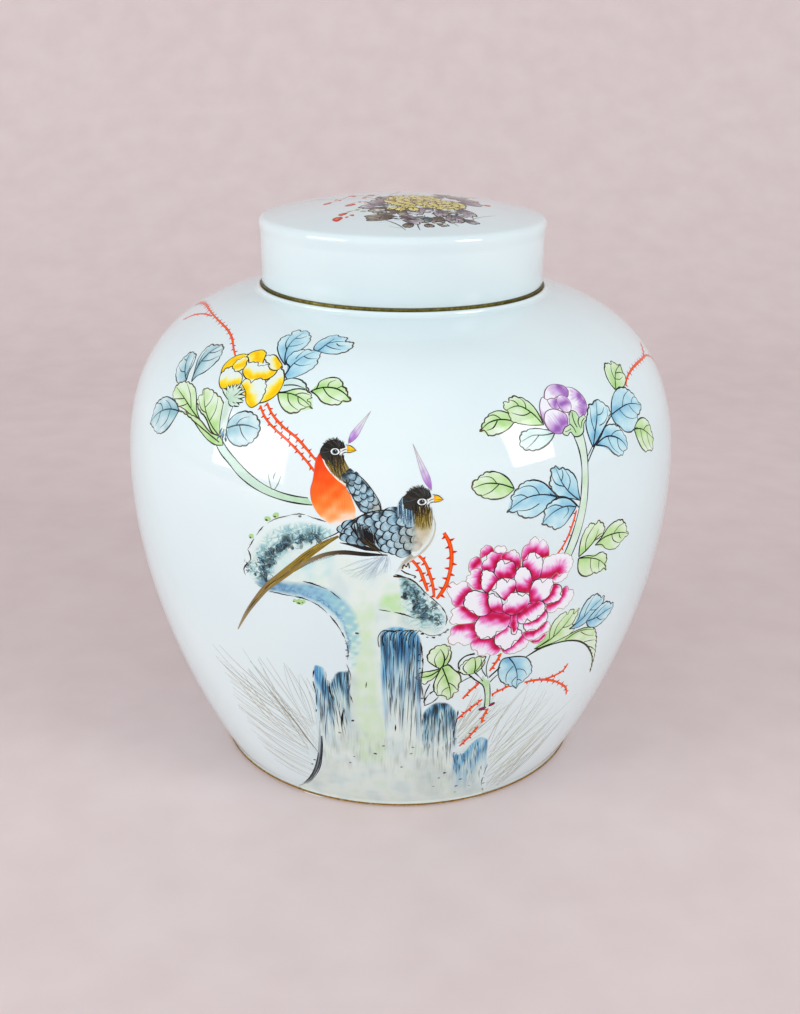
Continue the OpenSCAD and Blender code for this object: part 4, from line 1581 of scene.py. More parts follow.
    dots = [
        (-40, 61.6), (-24.6, 76.4), (-10, 32.6), (-10.2, 30), (-9.8, 27.6), (13.4, 29), (13.2, 26.6),
        (13.6, 23.4), (14.4, 10), (25.8, -11.6), (25.4, -19.4), (14.4, 37.4), (16, 36), (18, 35.8),
        (20, 36.6), (21.6, 37.6), (22.6, 38.6), (-11, -25.2), (-9.4, -21.2), (-2, -18.6), (1, -14),
        (7, -26), (11, -14.6), (10.4, -18.2), (22, -31), (20, -34), (28, -36.6), (26.4, -41), (31.4, -42.4),
        (37, -39), (37.2, -43), (18, -39.4), (26, -45.4), (-24.4, -27.2), (-25.6, -30.4), (-14, -8.8),
        (-9.2, -1.8), (-6.6, 37),
    ]
    for k, spot in enumerate(dots):
        daub(
            lines, spot, draw.uniform(0.45, 0.8), fade(ROCK_BLACK, draw.uniform(0.6, 1)), layer=12, seed=k,
            stretch=1.8, angle=draw.uniform(-20, 30)
        )
    cracks = [
        ([(5.4, -2.4), (5.3, -4), (5.2, -6)], 0.55), ([(-3.9, 17), (-4.2, 14.4)], 0.35),
        ([(-12, 3.6), (-12.8, -1), (-13, -6)], 1.0), ([(-16.6, 16), (-16.2, 10), (-15.4, 7)], 0.7),
    ]
    for line, width in cracks:
        lines.stroke(line, [0.1, width, 0.1], ROCK_BLACK, layer=12)
    folds = [
        ((-17.4, 70.6), (-27, 69), 30), ((-25, 68.6), (-32, 65.4), 34), ((-31.6, 65.4), (-36.4, 60.6), 34),
        ((-34.4, 62.6), (-36, 57.4), 22), ((-38.6, 60), (-38, 54), 22), ((-36, 55.8), (-38.4, 51.4), 16),
        ((-44, 57), (-42, 52.6), 12), ((9, 56), (11, 50), 18), ((12, 53), (15, 47.6), 20),
        ((12, 49), (13.4, 44), 18), ((13, 44.6), (19.6, 42.6), 20), ((15.4, 50), (18.6, 45), 12),
    ]
    for k, (a, b, count) in enumerate(folds):
        way = math.degrees(math.atan2(b[1] - a[1], b[0] - a[0]))
        for i in range(count):
            t = draw.random()
            spot = (
                a[0] + (b[0] - a[0]) * t + draw.gauss(0, 0.9), a[1] + (b[1] - a[1]) * t + draw.gauss(0, 0.9)
            )
            curl = turned_to(
                way + draw.choice([-70, 60, 20, -20]) + draw.uniform(-30, 30), draw.uniform(0.5, 1.25), spot
            )
            shade = draw.choice([ROCK_BLACK, ROCK_BLACK, NAVY, srgb(58, 88, 104), srgb(88, 118, 126)])
            if i % 3 == 0:
                blot = draw.choice([ROCK_BLACK, srgb(44, 62, 66), srgb(76, 124, 148)])
                daub(
                    lines, spot, draw.uniform(0.7, 1.5), fade(blot, draw.uniform(0.5, 0.9)),
                    layer=4 + 0.1 * (i % 9), seed=k * 50 + i, stretch=draw.uniform(1.2, 2.4),
                    angle=way + draw.uniform(-60, 60)
                )
            lines.stroke(
                curl([(-1, 0), (0, draw.uniform(0.1, 0.5)), (1, 0)]), [0.06, draw.uniform(0.2, 0.55), 0.06],
                fade(shade, draw.uniform(0.55, 1)), layer=5 + 0.5 * (i % 8), spacing=0.4
            )
    lines.lay_down()

    moss = Enamel("rock_moss", ROCK_AT)
    tufts = [
        (-32.8, 75.6, 1.8), (-35.8, 74, 1.9), (-42, 67, 1.5), (-25.4, 46.6, 2.2), (-27, 47, 1.2),
        (-24, 47, 1.2),
    ]
    for k, (x, y, size) in enumerate(tufts):
        daub(moss, (x, y), size, MOSS, layer=14, seed=k + 80, stretch=1.3)
        daub(moss, (x - 0.4, y - 0.5), size * 0.35, SOFT_INK, layer=15, seed=k + 90, stretch=1.6)
    moss.lay_down()


paint_rock()


# ---------------------------------------------------------------- leaves

LEAF_TINTS = {
    "green": [
        (0, srgb(158, 208, 124)), (0.45, srgb(190, 224, 162)), (0.8, srgb(214, 234, 202)),
        (1.1, srgb(222, 238, 226))
    ], "blue": [
        (0, srgb(106, 168, 204)), (0.4, srgb(152, 204, 224)), (0.8, srgb(192, 226, 234)),
        (1.1, srgb(212, 234, 238))
    ], "teal": [
        (0, srgb(116, 164, 178)), (0.4, srgb(158, 200, 210)), (0.8, srgb(198, 222, 226)),
        (1.1, srgb(214, 230, 232))
    ], "pale": [(0, srgb(190, 220, 214)), (0.6, srgb(212, 232, 228)), (1, srgb(222, 236, 236))],
}
LEAF_LINES = {
    "green": srgb(28, 32, 18), "blue": srgb(22, 38, 48), "teal": srgb(30, 48, 52), "pale": srgb(46, 56, 54)
}


def leaf_paint(root, midrib, length, tints, seed):
    """Deeper colour near the stalk and along the midrib, pale and uneven towards the edge."""

    def paint(xy, edge):
        t = 0.08 + 0.55 * distance(xy, [root]) / length + 0.4 * np.clip(distance(xy, midrib) / 3.5, 0, 1)
        t = t + 0.17 * mottle(xy, 2.6, seed) + 0.05 * mottle(xy, 0.9, seed + 1)
        return tint(tints, t)

    return paint


LEAF_LINE = 0.44


def leaf(art, kind, outline, veins, layer=1, seed=0):
    """A leaf with its ink line and veins. The outline starts at the stalk, the first vein is the midrib."""
    points = np.array([p[:2] for p in outline], float)
    length = np.linalg.norm(points - points[0], axis=1).max()
    edge = lobed(outline, seed=seed)
    tints = leaf_paint(points[0], curve(veins[0], 1.0), length, LEAF_TINTS[kind], seed)
    art.wash(edge, tints, layer=layer, spacing=0.6, smooth=False)
    colour = LEAF_LINES[kind]
    draw = random.Random(seed + 5)
    tip = [a * 0.7 + b * 0.3 for a, b in zip(colour, BROWN_LINE)]
    art.stroke(
        edge, wavering(LEAF_LINE, 15, seed), [colour, colour, tip, tip, colour],
        layer=layer + 0.8, smooth=False, closed=True
    )
    for i, vein in enumerate(veins):
        start = LEAF_LINE * (1.05 if i == 0 else 0.75)
        art.stroke(vein, [start, start * draw.uniform(0.7, 1.2), start * 0.3], colour, layer=layer + 1.2)


def leaves(name, sheet, items, first=1):
    """One piece made of several leaves, each a little higher than the one before."""
    art = Enamel(name, sheet)
    for i, (kind, outline, veins) in enumerate(items):
        leaf(art, kind, outline, veins, layer=first + 1.4 * i, seed=len(name) + 7 * i)
    return art


LEFT_AT = WALL_SURFACE.place(-36.6, 168)
LEFT_LEAVES_HIGH = [
    (
        "blue", [
            (13.2, 8.4, 1), (8.6, 12), (5.6, 15.4), (4.1, 19), (4.8, 21.2), (6.2, 21.8, 1), (5.8, 23.6),
            (7, 25), (8.6, 24.6, 1), (10.4, 25.2), (11.8, 24, 1), (13.6, 22.4), (15, 19), (14.8, 16.4),
            (13, 12.4)
        ], [
            [(12.8, 9), (10.6, 12.6), (9.2, 16.6), (9, 20), (9.8, 23.8)],
            [(10, 14.4), (7.4, 17.6), (6.4, 21.8)], [(9.4, 16.4), (11, 16.8), (13.4, 18.8)],
            [(9.2, 20.4), (11, 21), (12.2, 22.4)]
        ]
    ), (
        "blue", [
            (15.2, 4.6, 1), (15, 8), (13, 9.4), (12.2, 12), (13, 14.6), (14.8, 15.6, 1), (16.4, 16.2),
            (18, 16, 1), (20.8, 16.2), (22.2, 14.6), (22.6, 12.6, 1), (23.4, 9.8), (22, 7), (19.6, 4.8),
            (17, 3.2, 1)
        ], [
            [(15.3, 5), (15.6, 9), (17, 12.6), (19.6, 15.6)], [(15.8, 9.6), (18.4, 9), (21.4, 10.2)],
            [(17.2, 13), (19.4, 12.2), (22, 12.6)], [(15.2, 11.4), (15.4, 13.6), (16, 15.6)]
        ]
    ), (
        "blue", [
            (20.4, 15.8, 1), (18.6, 16.4), (17.7, 19), (18.3, 22), (20, 24.3), (22, 24.6), (23.2, 23.7, 1),
            (24.8, 24), (26, 22.8), (26.4, 21.4, 1), (28.4, 21.6), (29.8, 20), (29.8, 17.2), (28, 15.6),
            (24.6, 15.1)
        ], [
            [(20.4, 16), (21, 18.8), (21.8, 22.6)], [(21.2, 19.8), (23.6, 21.2), (26.4, 21.4)],
            [(21.4, 18.8), (24, 17.8), (27.2, 17.4)], [(24, 20.2), (25.6, 19.2), (27.4, 19.4)]
        ]
    ), (
        "pale", [
            (16.2, 2.9, 1), (18.2, 3.9), (20.6, 3.9), (23.2, 2.9), (25.2, 1.2), (26.6, -0.4, 1), (24, 0.6),
            (21, 0.2), (18.4, -1), (16.4, -1.4)
        ], [[(16.8, 1), (20, 1.6), (24, 1)]]
    ), (
        "green", [
            (16, -1.6, 1), (18.6, -1), (21, 0.2), (24, 0.5), (27, -0.6), (28.3, -2, 1), (27, -2.7, 1),
            (28.4, -3.8), (29.8, -5.6, 1), (27.6, -5.3, 1), (26.4, -6.4), (25, -7.5), (22.6, -7.8),
            (20, -6.6), (17.4, -4)
        ], [
            [(16.2, -1.8), (20, -1.4), (24.2, -2.4), (29.4, -5.3)],
            [(19.6, -1.5), (20.8, -3.8), (25.4, -6.6)], [(23.4, -2.2), (24.4, -3.9), (27.4, -5.2)],
            [(22, -1.8), (24, -0.8), (27, -1.2)]
        ]
    ), (
        "green", [
            (26.6, 0.2, 1), (28, 1.4), (27.9, 3.8), (29.6, 5.3), (31.8, 5.8), (34.2, 5), (36.2, 2.6, 1),
            (37.8, 1.8), (38.6, 0.2, 1), (39.8, -0.8), (40.8, -2.2, 1), (38.4, -2.4, 1), (37.4, -3.5),
            (35, -3.8), (31.6, -2.9), (29.4, -1.2)
        ], [
            [(26.8, 0.3), (29.8, 1.8), (33.4, 2), (37.2, 0.6), (40.6, -2)],
            [(30, 1.8), (32.8, -0.6), (38, -2.5)], [(31.4, 2), (31.1, 3.6), (32.8, 4.9)],
            [(34.4, 1.8), (35.6, 2.8), (37.8, 1.2)]
        ]
    ),
]
LEFT_LEAVES_LOW = [
    (
        "teal", [
            (-21.4, -5, 1), (-20, -2.8), (-17, -0.4), (-14.6, 3), (-13.7, 6), (-14.6, 8.8, 1),
            (-15.4, 10.2), (-17, 11, 1), (-18.8, 10.5), (-20.2, 10, 1), (-22.4, 9.6), (-24, 7),
            (-24.2, 3.4), (-22.8, -0.4)
        ], [
            [(-21.6, -4.6), (-22, 0), (-21.2, 4.4), (-19.4, 8), (-16.4, 11)],
            [(-21.4, 2.8), (-17.8, 4), (-14.6, 6.6)], [(-20.4, 6.4), (-17.6, 7.4), (-15.2, 9.6)],
            [(-22, 0.6), (-22.8, 3.6), (-22.6, 7.6)]
        ]
    ), (
        "teal", [
            (-24.4, -5.2, 1), (-28.8, -7.2), (-32, -5.6), (-34, -2.4), (-33.2, 1.2, 1), (-32.2, 2.6),
            (-31, 4.2, 1), (-28.6, 4.5), (-26.2, 3.9, 1), (-25.2, 1), (-25.2, -2.4)
        ], [
            [(-24.8, -5), (-27.6, -2.8), (-30.2, 1), (-30.8, 3.8)],
            [(-27.6, -2.8), (-30, -3.2), (-32.4, -2.2)], [(-26, -4), (-26, -0.6), (-27.2, 3.4)],
            [(-30.2, 1), (-31.4, 0.8), (-32.8, 1.4)]
        ]
    ), (
        "green", [
            (-10.2, -16.2, 1), (-13.6, -13), (-15.6, -9.4), (-18, -6.6), (-21.6, -5.5), (-25.2, -5.7, 1),
            (-27.4, -6.6), (-29.2, -8.2, 1), (-29.6, -10.6), (-28.6, -12.8, 1), (-26.2, -13.2),
            (-23.8, -14.2, 1), (-20.6, -14.2), (-15, -15.6)
        ], [
            [(-10.6, -16), (-16.4, -13.4), (-21.6, -11), (-28.8, -8.6)],
            [(-16.6, -13.2), (-18.8, -9.6), (-23.6, -6)], [(-21.8, -11), (-24.6, -11.8), (-28.4, -12.6)],
            [(-19, -12), (-21, -13.2), (-23.6, -14)]
        ]
    ), (
        "green", [
            (1, -20, 1), (-4, -18.4), (-8.4, -14.6), (-12.6, -12.8), (-14.8, -10.6, 1), (-14.8, -8.8),
            (-13.4, -7.6, 1), (-13.6, -5.8), (-11.4, -5.2), (-8.8, -5.5), (-6.4, -6.4, 1), (-3.8, -7.4),
            (-2, -9.6), (-0.9, -13), (-0.2, -16.6)
        ], [
            [(0.6, -19.6), (-5.4, -16), (-10.2, -11.2), (-13.2, -6.2)],
            [(-6.2, -15.2), (-5, -12), (-5.6, -7.4)], [(-10, -11.6), (-8.4, -9), (-8.2, -6.2)],
            [(-8.6, -13), (-11, -12.6), (-14.2, -9.6)]
        ]
    ), (
        "green", [
            (1.8, -21.6, 1), (-1.4, -22.1), (-5, -21.3), (-9, -19.4), (-14, -16.8), (-19, -15.7),
            (-24, -15.5, 1), (-17, -15), (-10.2, -16), (-5, -18.6), (1, -20)
        ], [[(0, -21), (-8, -18.4), (-18, -15.6)]]
    ), (
        "teal", [
            (-22.8, -15.4, 1), (-25.4, -13.6), (-29, -12.9), (-32.6, -13), (-36.4, -14.6), (-39.4, -17.4),
            (-40, -21, 1), (-41, -24.4, 1), (-38.2, -24.8, 1), (-35, -25.8), (-31.4, -25.3), (-27.8, -23),
            (-24.6, -19)
        ], [
            [(-23, -15.5), (-28.4, -16.2), (-33.4, -18), (-37.4, -20.6), (-40.8, -24)],
            [(-32.8, -17.8), (-35.4, -16.2), (-38, -16.8)], [(-27.4, -16), (-29.6, -14.8), (-33, -14.2)],
            [(-28, -16.4), (-28.6, -19.6), (-32.4, -23.6)], [(-34.4, -18.6), (-34.6, -21), (-36.4, -24)]
        ]
    ), (
        "teal", [
            (1.8, -16.4, 1), (2, -13.6), (4, -11), (7, -9.5), (10.4, -9.6), (13.2, -11.4), (14.6, -14.4),
            (13.6, -17.8), (10.4, -20.3), (6, -20.6), (3, -18.8)
        ], [
            [(2, -16), (5.6, -14.4), (9.6, -13.8), (13.8, -14.4)], [(5.2, -14.6), (6.4, -12.4), (9.4, -11)],
            [(6.6, -14.2), (8.4, -16.8), (11, -18.6)]
        ]
    ),
]

YELLOW = [
    (0, srgb(246, 190, 0)), (0.35, srgb(250, 212, 14)), (0.62, srgb(244, 228, 92)),
    (0.9, srgb(230, 236, 196)), (1.2, srgb(224, 236, 230))
]
YELLOW_PETALS = [
    (
        [
            (-3, 9.9, 1), (-1, 11.9), (1.6, 12.8), (3.4, 12.1), (4, 10.8, 1), (5, 7.4, 1), (1.6, 6.4),
            (-1.8, 7.4)
        ], [(0.4, 11), (3.2, 8.4)], 4.2
    ), (
        [(4, 10.8, 1), (6.8, 11.7), (10, 9.9), (12.5, 7.4), (12.1, 5.6, 1), (9.2, 6), (7.4, 7.8), (5, 8.8)],
        [(8.6, 10.4), (12.2, 6.6)], 2.0
    ), (
        [
            (12.3, 7.8, 1), (15, 4.8), (16.4, 1), (15.8, -2.6), (13.6, -5), (11.2, -6.1, 1), (10, -2),
            (10.6, 3)
        ], [(15.6, 1.4), (13.8, -4.4)], 3.0
    ), (
        [(-3, 10.1, 1), (-6.2, 9), (-8.8, 6.4), (-9.8, 3.4), (-9.2, 0.8, 1), (-5.6, 3), (-2.6, 6.6)],
        [(-9, 2), (-8, 5), (-5, 8)], 3.0
    ), (
        [
            (-2.8, 9.2, 1), (-5.4, 7), (-6, 4.5), (-4.5, 2.8, 1), (-2.6, 3), (-0.8, 4.2, 1), (-0.4, 6.8),
            (-1.4, 8.2)
        ], [(-4.4, 4.4), (-1.6, 6.2)], 2.3
    ), (
        [
            (-1.6, 7.6, 1), (-0.8, 5.6, 1), (-0.8, 3.6), (1.2, 1.6), (4, 0.8), (7, 1.8), (9.6, 2),
            (11.7, 4.4), (11.8, 5.9, 1), (9, 6), (7.4, 7.6, 1), (5.8, 7.2), (4.4, 6.4, 1), (2.6, 7.8),
            (0.4, 7.2, 1)
        ], [(0.4, 2.9), (3.6, 1.8), (6.4, 2.6), (9.6, 3), (10.4, 4.8)], 2.4
    ), (
        [
            (-9.1, 0.4, 1), (-8.2, 2.8), (-5.8, 4.1), (-4, 2.8, 1), (-1.8, 2.8), (0.2, 1.6), (1, -0.6),
            (0.2, -2.7, 1), (-2.4, -3.2), (-6, -4), (-7.9, -2.4)
        ], [(-6.8, -3.2), (-3, -2.2), (0, -1)], 2.5
    ), (
        [
            (1.4, -1, 1), (2, 0.8), (3.8, 0.9), (4.9, -0.2, 1), (6, 1.6), (8.6, 2.2), (10.8, 0.4),
            (11.7, -2.6), (11.2, -6, 1), (8.8, -8), (6.4, -6.8), (4.6, -3.6), (2.6, -1.8)
        ], [(3, -2), (6, -5), (8.6, -7.4)], 3.0
    ),
]


def paint_left_spray():
    leaves("left_leaves_high", LEFT_AT, LEFT_LEAVES_HIGH).lay_down()
    leaves("left_leaves_low", LEFT_AT, LEFT_LEAVES_LOW).lay_down()

    cup = Enamel("yellow_peony_stalk", LEFT_AT)
    tube = [
        (-4.6, -5), (-2.8, -6.6), (-2.2, -9), (-1.6, -13), (-0.8, -17), (1.4, -20), (2.4, -17), (1.4, -13),
        (1.4, -9.6), (2.2, -8), (4.4, -7), (5, -5.4), (3.4, -3.6), (1, -2.4), (-2, -2.4), (-4.4, -3.4)
    ]
    cup.wash(
        tube, cloud([(0, srgb(188, 214, 192)), (1, srgb(216, 232, 226))], seed=3, soft_edge=0.4), layer=10,
        spacing=0.6
    )
    fingers = [
        (-5.2, -4), (-3.8, -2.6), (-2.2, -2), (-0.6, -1.4), (1, -1.2), (2.4, -2.2), (4, -3), (5, -4.8),
        (5, -6.6), (4, -8.2), (2, -8.6),
    ]
    for k, (x, y) in enumerate(fingers):
        sepal = [(-0.8, -7), (-0.8 + 0.42 * (x + 0.8), -7 + 0.55 * (y + 7)), (x, y)]
        cup.stroke(sepal, [0.8, 1.6, 2.0, 1.8, 0.7], srgb(34, 42, 26), layer=22 + 0.5 * (k % 3))
        cup.stroke(
            sepal, [0.5, 0.9, 1.2, 0.9, 0.2], [srgb(180, 212, 188), srgb(214, 234, 218)],
            layer=22.9 + 0.5 * (k % 3)
        )
    cup.stroke(
        [(-2.6, -8), (-2, -12), (-1.2, -16), (0, -19)], [0.2, 0.34, 0.3, 0.2], LEAF_LINES["green"], layer=11
    )
    cup.stroke([(1.8, -8.6), (1.5, -12.4), (2, -16)], [0.2, 0.34, 0.2], LEAF_LINES["teal"], layer=11)
    draw = random.Random(8)
    for k in range(20):
        x, y = draw.uniform(-0.8, 2.6), draw.uniform(-19.4, -16.2)
        cup.stroke(
            [(x, y), (x + draw.uniform(-0.6, 0.6), y - draw.uniform(0.8, 2))], [0.3, 0.5, 0.1],
            draw.choice([srgb(30, 74, 110), srgb(56, 120, 156), NAVY]), layer=11.4 + 0.2 * (k % 3),
            spacing=0.6
        )
    cup.lay_down()

    flower = Enamel("yellow_peony", LEFT_AT)
    for i, (outline, roots, reach) in enumerate(YELLOW_PETALS):
        edge = lobed(outline, 0.55, 2.3, seed=i, root=roots)
        flower.wash(edge, pooled(roots, reach, YELLOW, seed=i + 3), layer=12 + i, spacing=0.55, smooth=False)
        flower.stroke(edge, wavering(0.36, 9, i), srgb(62, 54, 28), layer=12.5 + i, smooth=False, closed=True)
    flower.lay_down()

    stems = Enamel("left_coral_stems", LEFT_AT)
    coral_stem(stems, [(-61, 10), (-54, 14.6), (-46, 17.8), (-38, 19.3)], 0.7, layer=7, seed=1, thorns=5)
    coral_stem(
        stems, [
            (-73, 14.6), (-64, 18), (-55, 19.8), (-44, 20.2), (-33, 19.5), (-26, 18.5), (-20, 17),
            (-15, 14.5), (-10.4, 10.6), (-7.4, 8)
        ], 0.8, seed=2
    )
    coral_stem(
        stems, [(13.8, -5.6), (17, -8.8), (21.6, -12), (28, -15.4), (33, -19.2), (37.6, -23.2)], 0.8, seed=3
    )
    coral_stem(
        stems, [(11.8, -6.8), (15.4, -10.6), (19.6, -13.4), (25, -16.4), (31, -20.6), (38, -27)], 0.8,
        seed=4
    )
    stems.lay_down()


paint_left_spray()

RIGHT_AT = WALL_SURFACE.place(41, 150)
RIGHT_LEAVES = [
    (
        "green", [
            (-30, 8, 1), (-31, 11, 1), (-33.4, 12), (-36.4, 11.6), (-39.2, 9.8), (-41.2, 7.6),
            (-42.2, 6, 1), (-40.4, 5.6), (-40, 4.2, 1), (-36, 4.8), (-32.4, 6.2)
        ], [
            [(-30, 8.2), (-34.4, 9.2), (-38.6, 8.4), (-41.8, 6.2)],
            [(-34, 9.2), (-35.8, 10.8), (-38.4, 10.2)], [(-35.4, 9), (-38, 6.6), (-40, 6.2)]
        ]
    ), (
        "green", [
            (-20.2, 5.8, 1), (-20.6, 9), (-21.6, 12.4), (-23.4, 15), (-26.4, 16.4, 1), (-28.2, 16),
            (-29.2, 14.8, 1), (-31, 14.6), (-31.6, 12.4), (-30.8, 11, 1), (-31, 8.6), (-27, 6.8)
        ], [
            [(-20.6, 6.2), (-23, 10.2), (-26.2, 12.8), (-31, 12)], [(-23.2, 10.4), (-26, 9.7), (-29.8, 11)],
            [(-24.4, 11.6), (-24, 14), (-25.6, 16)], [(-26.4, 12.8), (-27, 14.4), (-28.8, 15.2)]
        ]
    ), (
        "pale", [
            (-16.8, 3, 1), (-20, 4.2), (-25, 5.2), (-29, 4.4, 1), (-30.2, 2), (-30.4, 0.2), (-29, -1.2, 1),
            (-25.6, -1.8), (-21.6, -0.8), (-18.6, 1)
        ], [[(-17, 2.8), (-21, 2.6), (-25, 3), (-29.4, 1.6)], [(-23, 2.8), (-25.4, 1), (-28.6, -0.8)]]
    ), (
        "blue", [
            (-2.8, -4.4, 1), (-3.8, -0.4), (-3.8, 3), (-2, 6.2), (0, 9.2, 1), (2.2, 9.4), (4.1, 10.3, 1),
            (6.2, 9.4), (7.6, 8, 1), (9, 6.6), (9.4, 4.6, 1), (6.8, 2.4), (2.6, -0.4)
        ], [
            [(-2.6, -4), (-0.4, 0.4), (2.2, 5), (4, 9.8)], [(2.4, 5.2), (4.8, 5.4), (6.8, 7.2)],
            [(-0.6, 0.2), (-0.9, 4), (0.3, 8)], [(2.2, 1.8), (5, 2.4), (7.4, 4.4), (8, 6.6)]
        ]
    ), (
        "blue", [
            (9.2, 3.6, 1), (10, 5.4), (12, 8.4), (14.8, 10.4), (18.2, 11.2), (21.6, 10.8), (23.8, 9.4, 1),
            (25.8, 7.6), (27.4, 4.8, 1), (29.3, 2.6, 1), (26.8, 0.8), (24.2, 0, 1), (23.8, -1.6),
            (22.4, -3, 1), (18.2, -3.8), (14.4, -2.7), (12.2, -0.6), (10.2, 1)
        ], [
            [(9.6, 4), (14, 4.8), (19.6, 5.2), (25, 4.2), (29, 2.7)], [(16.4, 5), (19, 7.8), (23.8, 9.2)],
            [(14.4, 4.6), (16.8, 1.8), (20.4, 0.2), (23.8, -0.2)], [(20.6, 4.8), (22.2, 2.6), (24.6, 0.6)],
            [(22.4, 4.8), (24.6, 6.4), (26.8, 6)]
        ]
    ), (
        "blue", [
            (-1.4, -4, 1), (1.6, -1.8), (5.4, 1), (8.8, 0.9), (11.6, -0.5), (13.2, -2.6, 1), (14.6, -5),
            (14.6, -8.5, 1), (12.2, -9.3), (11.2, -10.1, 1), (8.6, -9.7), (6.2, -8), (4, -5.8), (1.2, -4.6)
        ], [
            [(-1, -3.8), (4.4, -2.3), (9.6, -3.8), (12.6, -6), (14.4, -8.7)],
            [(5, -2.6), (6.2, -6), (9.2, -8.8)], [(9.6, -4), (9.8, -7), (12.2, -9.2)],
            [(6.4, -2.6), (9.6, -1.6), (12.8, -2.2)]
        ]
    ), (
        "green", [
            (16.2, 11, 1), (14.6, 13.8), (14.6, 16.8), (16, 19.6), (18.2, 20.8), (20.4, 19.7, 1),
            (21.6, 20.6), (23, 20), (23.8, 18.8, 1), (26.6, 18, 1), (25.4, 16.4), (25.4, 14.8, 1),
            (25.4, 13.2), (23.8, 12), (21, 11), (18.6, 11.4)
        ], [
            [(16.4, 11.4), (18.6, 14.6), (21.4, 16.9), (26.2, 18)],
            [(18.3, 14.2), (18.6, 17.2), (20.4, 19.5)], [(20.4, 16.2), (23, 15.9), (25.3, 14.9)],
            [(18.8, 14.4), (21.4, 13.8), (23.6, 14.2)]
        ]
    ), (
        "green", [
            (20.4, -3.4, 1), (23, -1.7), (26, -1.1), (29.2, -1.8), (31.6, -3.6), (33, -7.2, 1),
            (34.1, -10, 1), (33, -11.4), (32.8, -13.4, 1), (30.6, -13.5), (29, -12.7, 1), (26.8, -12.8),
            (24.4, -11.2), (22, -8)
        ], [
            [(20.8, -3.5), (25, -4.4), (29.6, -7), (33.9, -10.1)], [(24.6, -4.3), (25, -8), (28.4, -12.4)],
            [(29, -6.8), (29.4, -9.6), (31.6, -13)], [(26.6, -5.2), (29.6, -4.5), (32.4, -5)]
        ]
    ), (
        "blue", [
            (-19.6, -17.4, 1), (-21.8, -14.8), (-24.4, -12.2), (-28, -10.8), (-31.6, -11.1),
            (-34.6, -13.4, 1), (-36.2, -15.4), (-36, -17.6, 1), (-37.9, -20, 1), (-34.6, -20.4, 1),
            (-33.4, -21.8), (-31.6, -22.6), (-28.6, -22.8), (-25.2, -21.4)
        ], [
            [(-20, -17.4), (-25, -15.9), (-31, -16.2), (-35, -18), (-37.6, -19.8)],
            [(-26.2, -15.7), (-28, -13), (-31, -12.4), (-34.4, -13.6)],
            [(-30.4, -16.2), (-32.4, -15), (-35.6, -15.4)], [(-26.4, -18.6), (-30, -20), (-34.6, -19.8)]
        ]
    ), (
        "blue", [
            (-10.4, -20.4, 1), (-11.1, -17), (-11.6, -13.2), (-13.2, -10.6), (-16.6, -8.5, 1),
            (-18.2, -8.4), (-19.2, -7.5, 1), (-21.4, -8.8), (-21.2, -10.2, 1), (-22.3, -12.8), (-21, -15.6),
            (-18.4, -17.9), (-14.2, -19)
        ], [
            [(-11, -20), (-14, -17.6), (-17, -14), (-19.3, -8.2)],
            [(-15.2, -15.9), (-14.2, -13), (-15.6, -9.8)], [(-17.6, -12.6), (-16.8, -10.6), (-17.2, -8.8)],
            [(-16.6, -14.6), (-20, -13), (-21.2, -10)]
        ]
    ), (
        "blue", [
            (-12, -22, 1), (-15.4, -18.8), (-19.6, -18), (-24.6, -20.8), (-24.9, -23.8), (-25.8, -25.5, 1),
            (-23.4, -26.6), (-20.4, -28.4, 1), (-17.2, -27.4), (-14.6, -25)
        ], [
            [(-12.2, -22.2), (-16.4, -21.2), (-21, -22.2), (-25.4, -25.2)],
            [(-15.8, -21.2), (-15.4, -23), (-17.4, -25)], [(-17.6, -21.2), (-20.6, -20), (-24.4, -21)]
        ]
    ), (
        "green", [
            (-34.8, -12.8, 1), (-36.8, -9), (-40, -6.9), (-44, -6.8), (-46.2, -8.2, 1), (-48.6, -10.2),
            (-48.2, -12.4, 1), (-46, -14.2), (-42.4, -15.3), (-38.4, -15)
        ], [
            [(-35, -12.6), (-39.6, -10.7), (-44, -10.2), (-48.4, -11.4)],
            [(-40.4, -10.6), (-41.8, -8.6), (-45.8, -8.2)], [(-39.8, -10.8), (-42.6, -12.8), (-46.2, -14)]
        ]
    ),
]

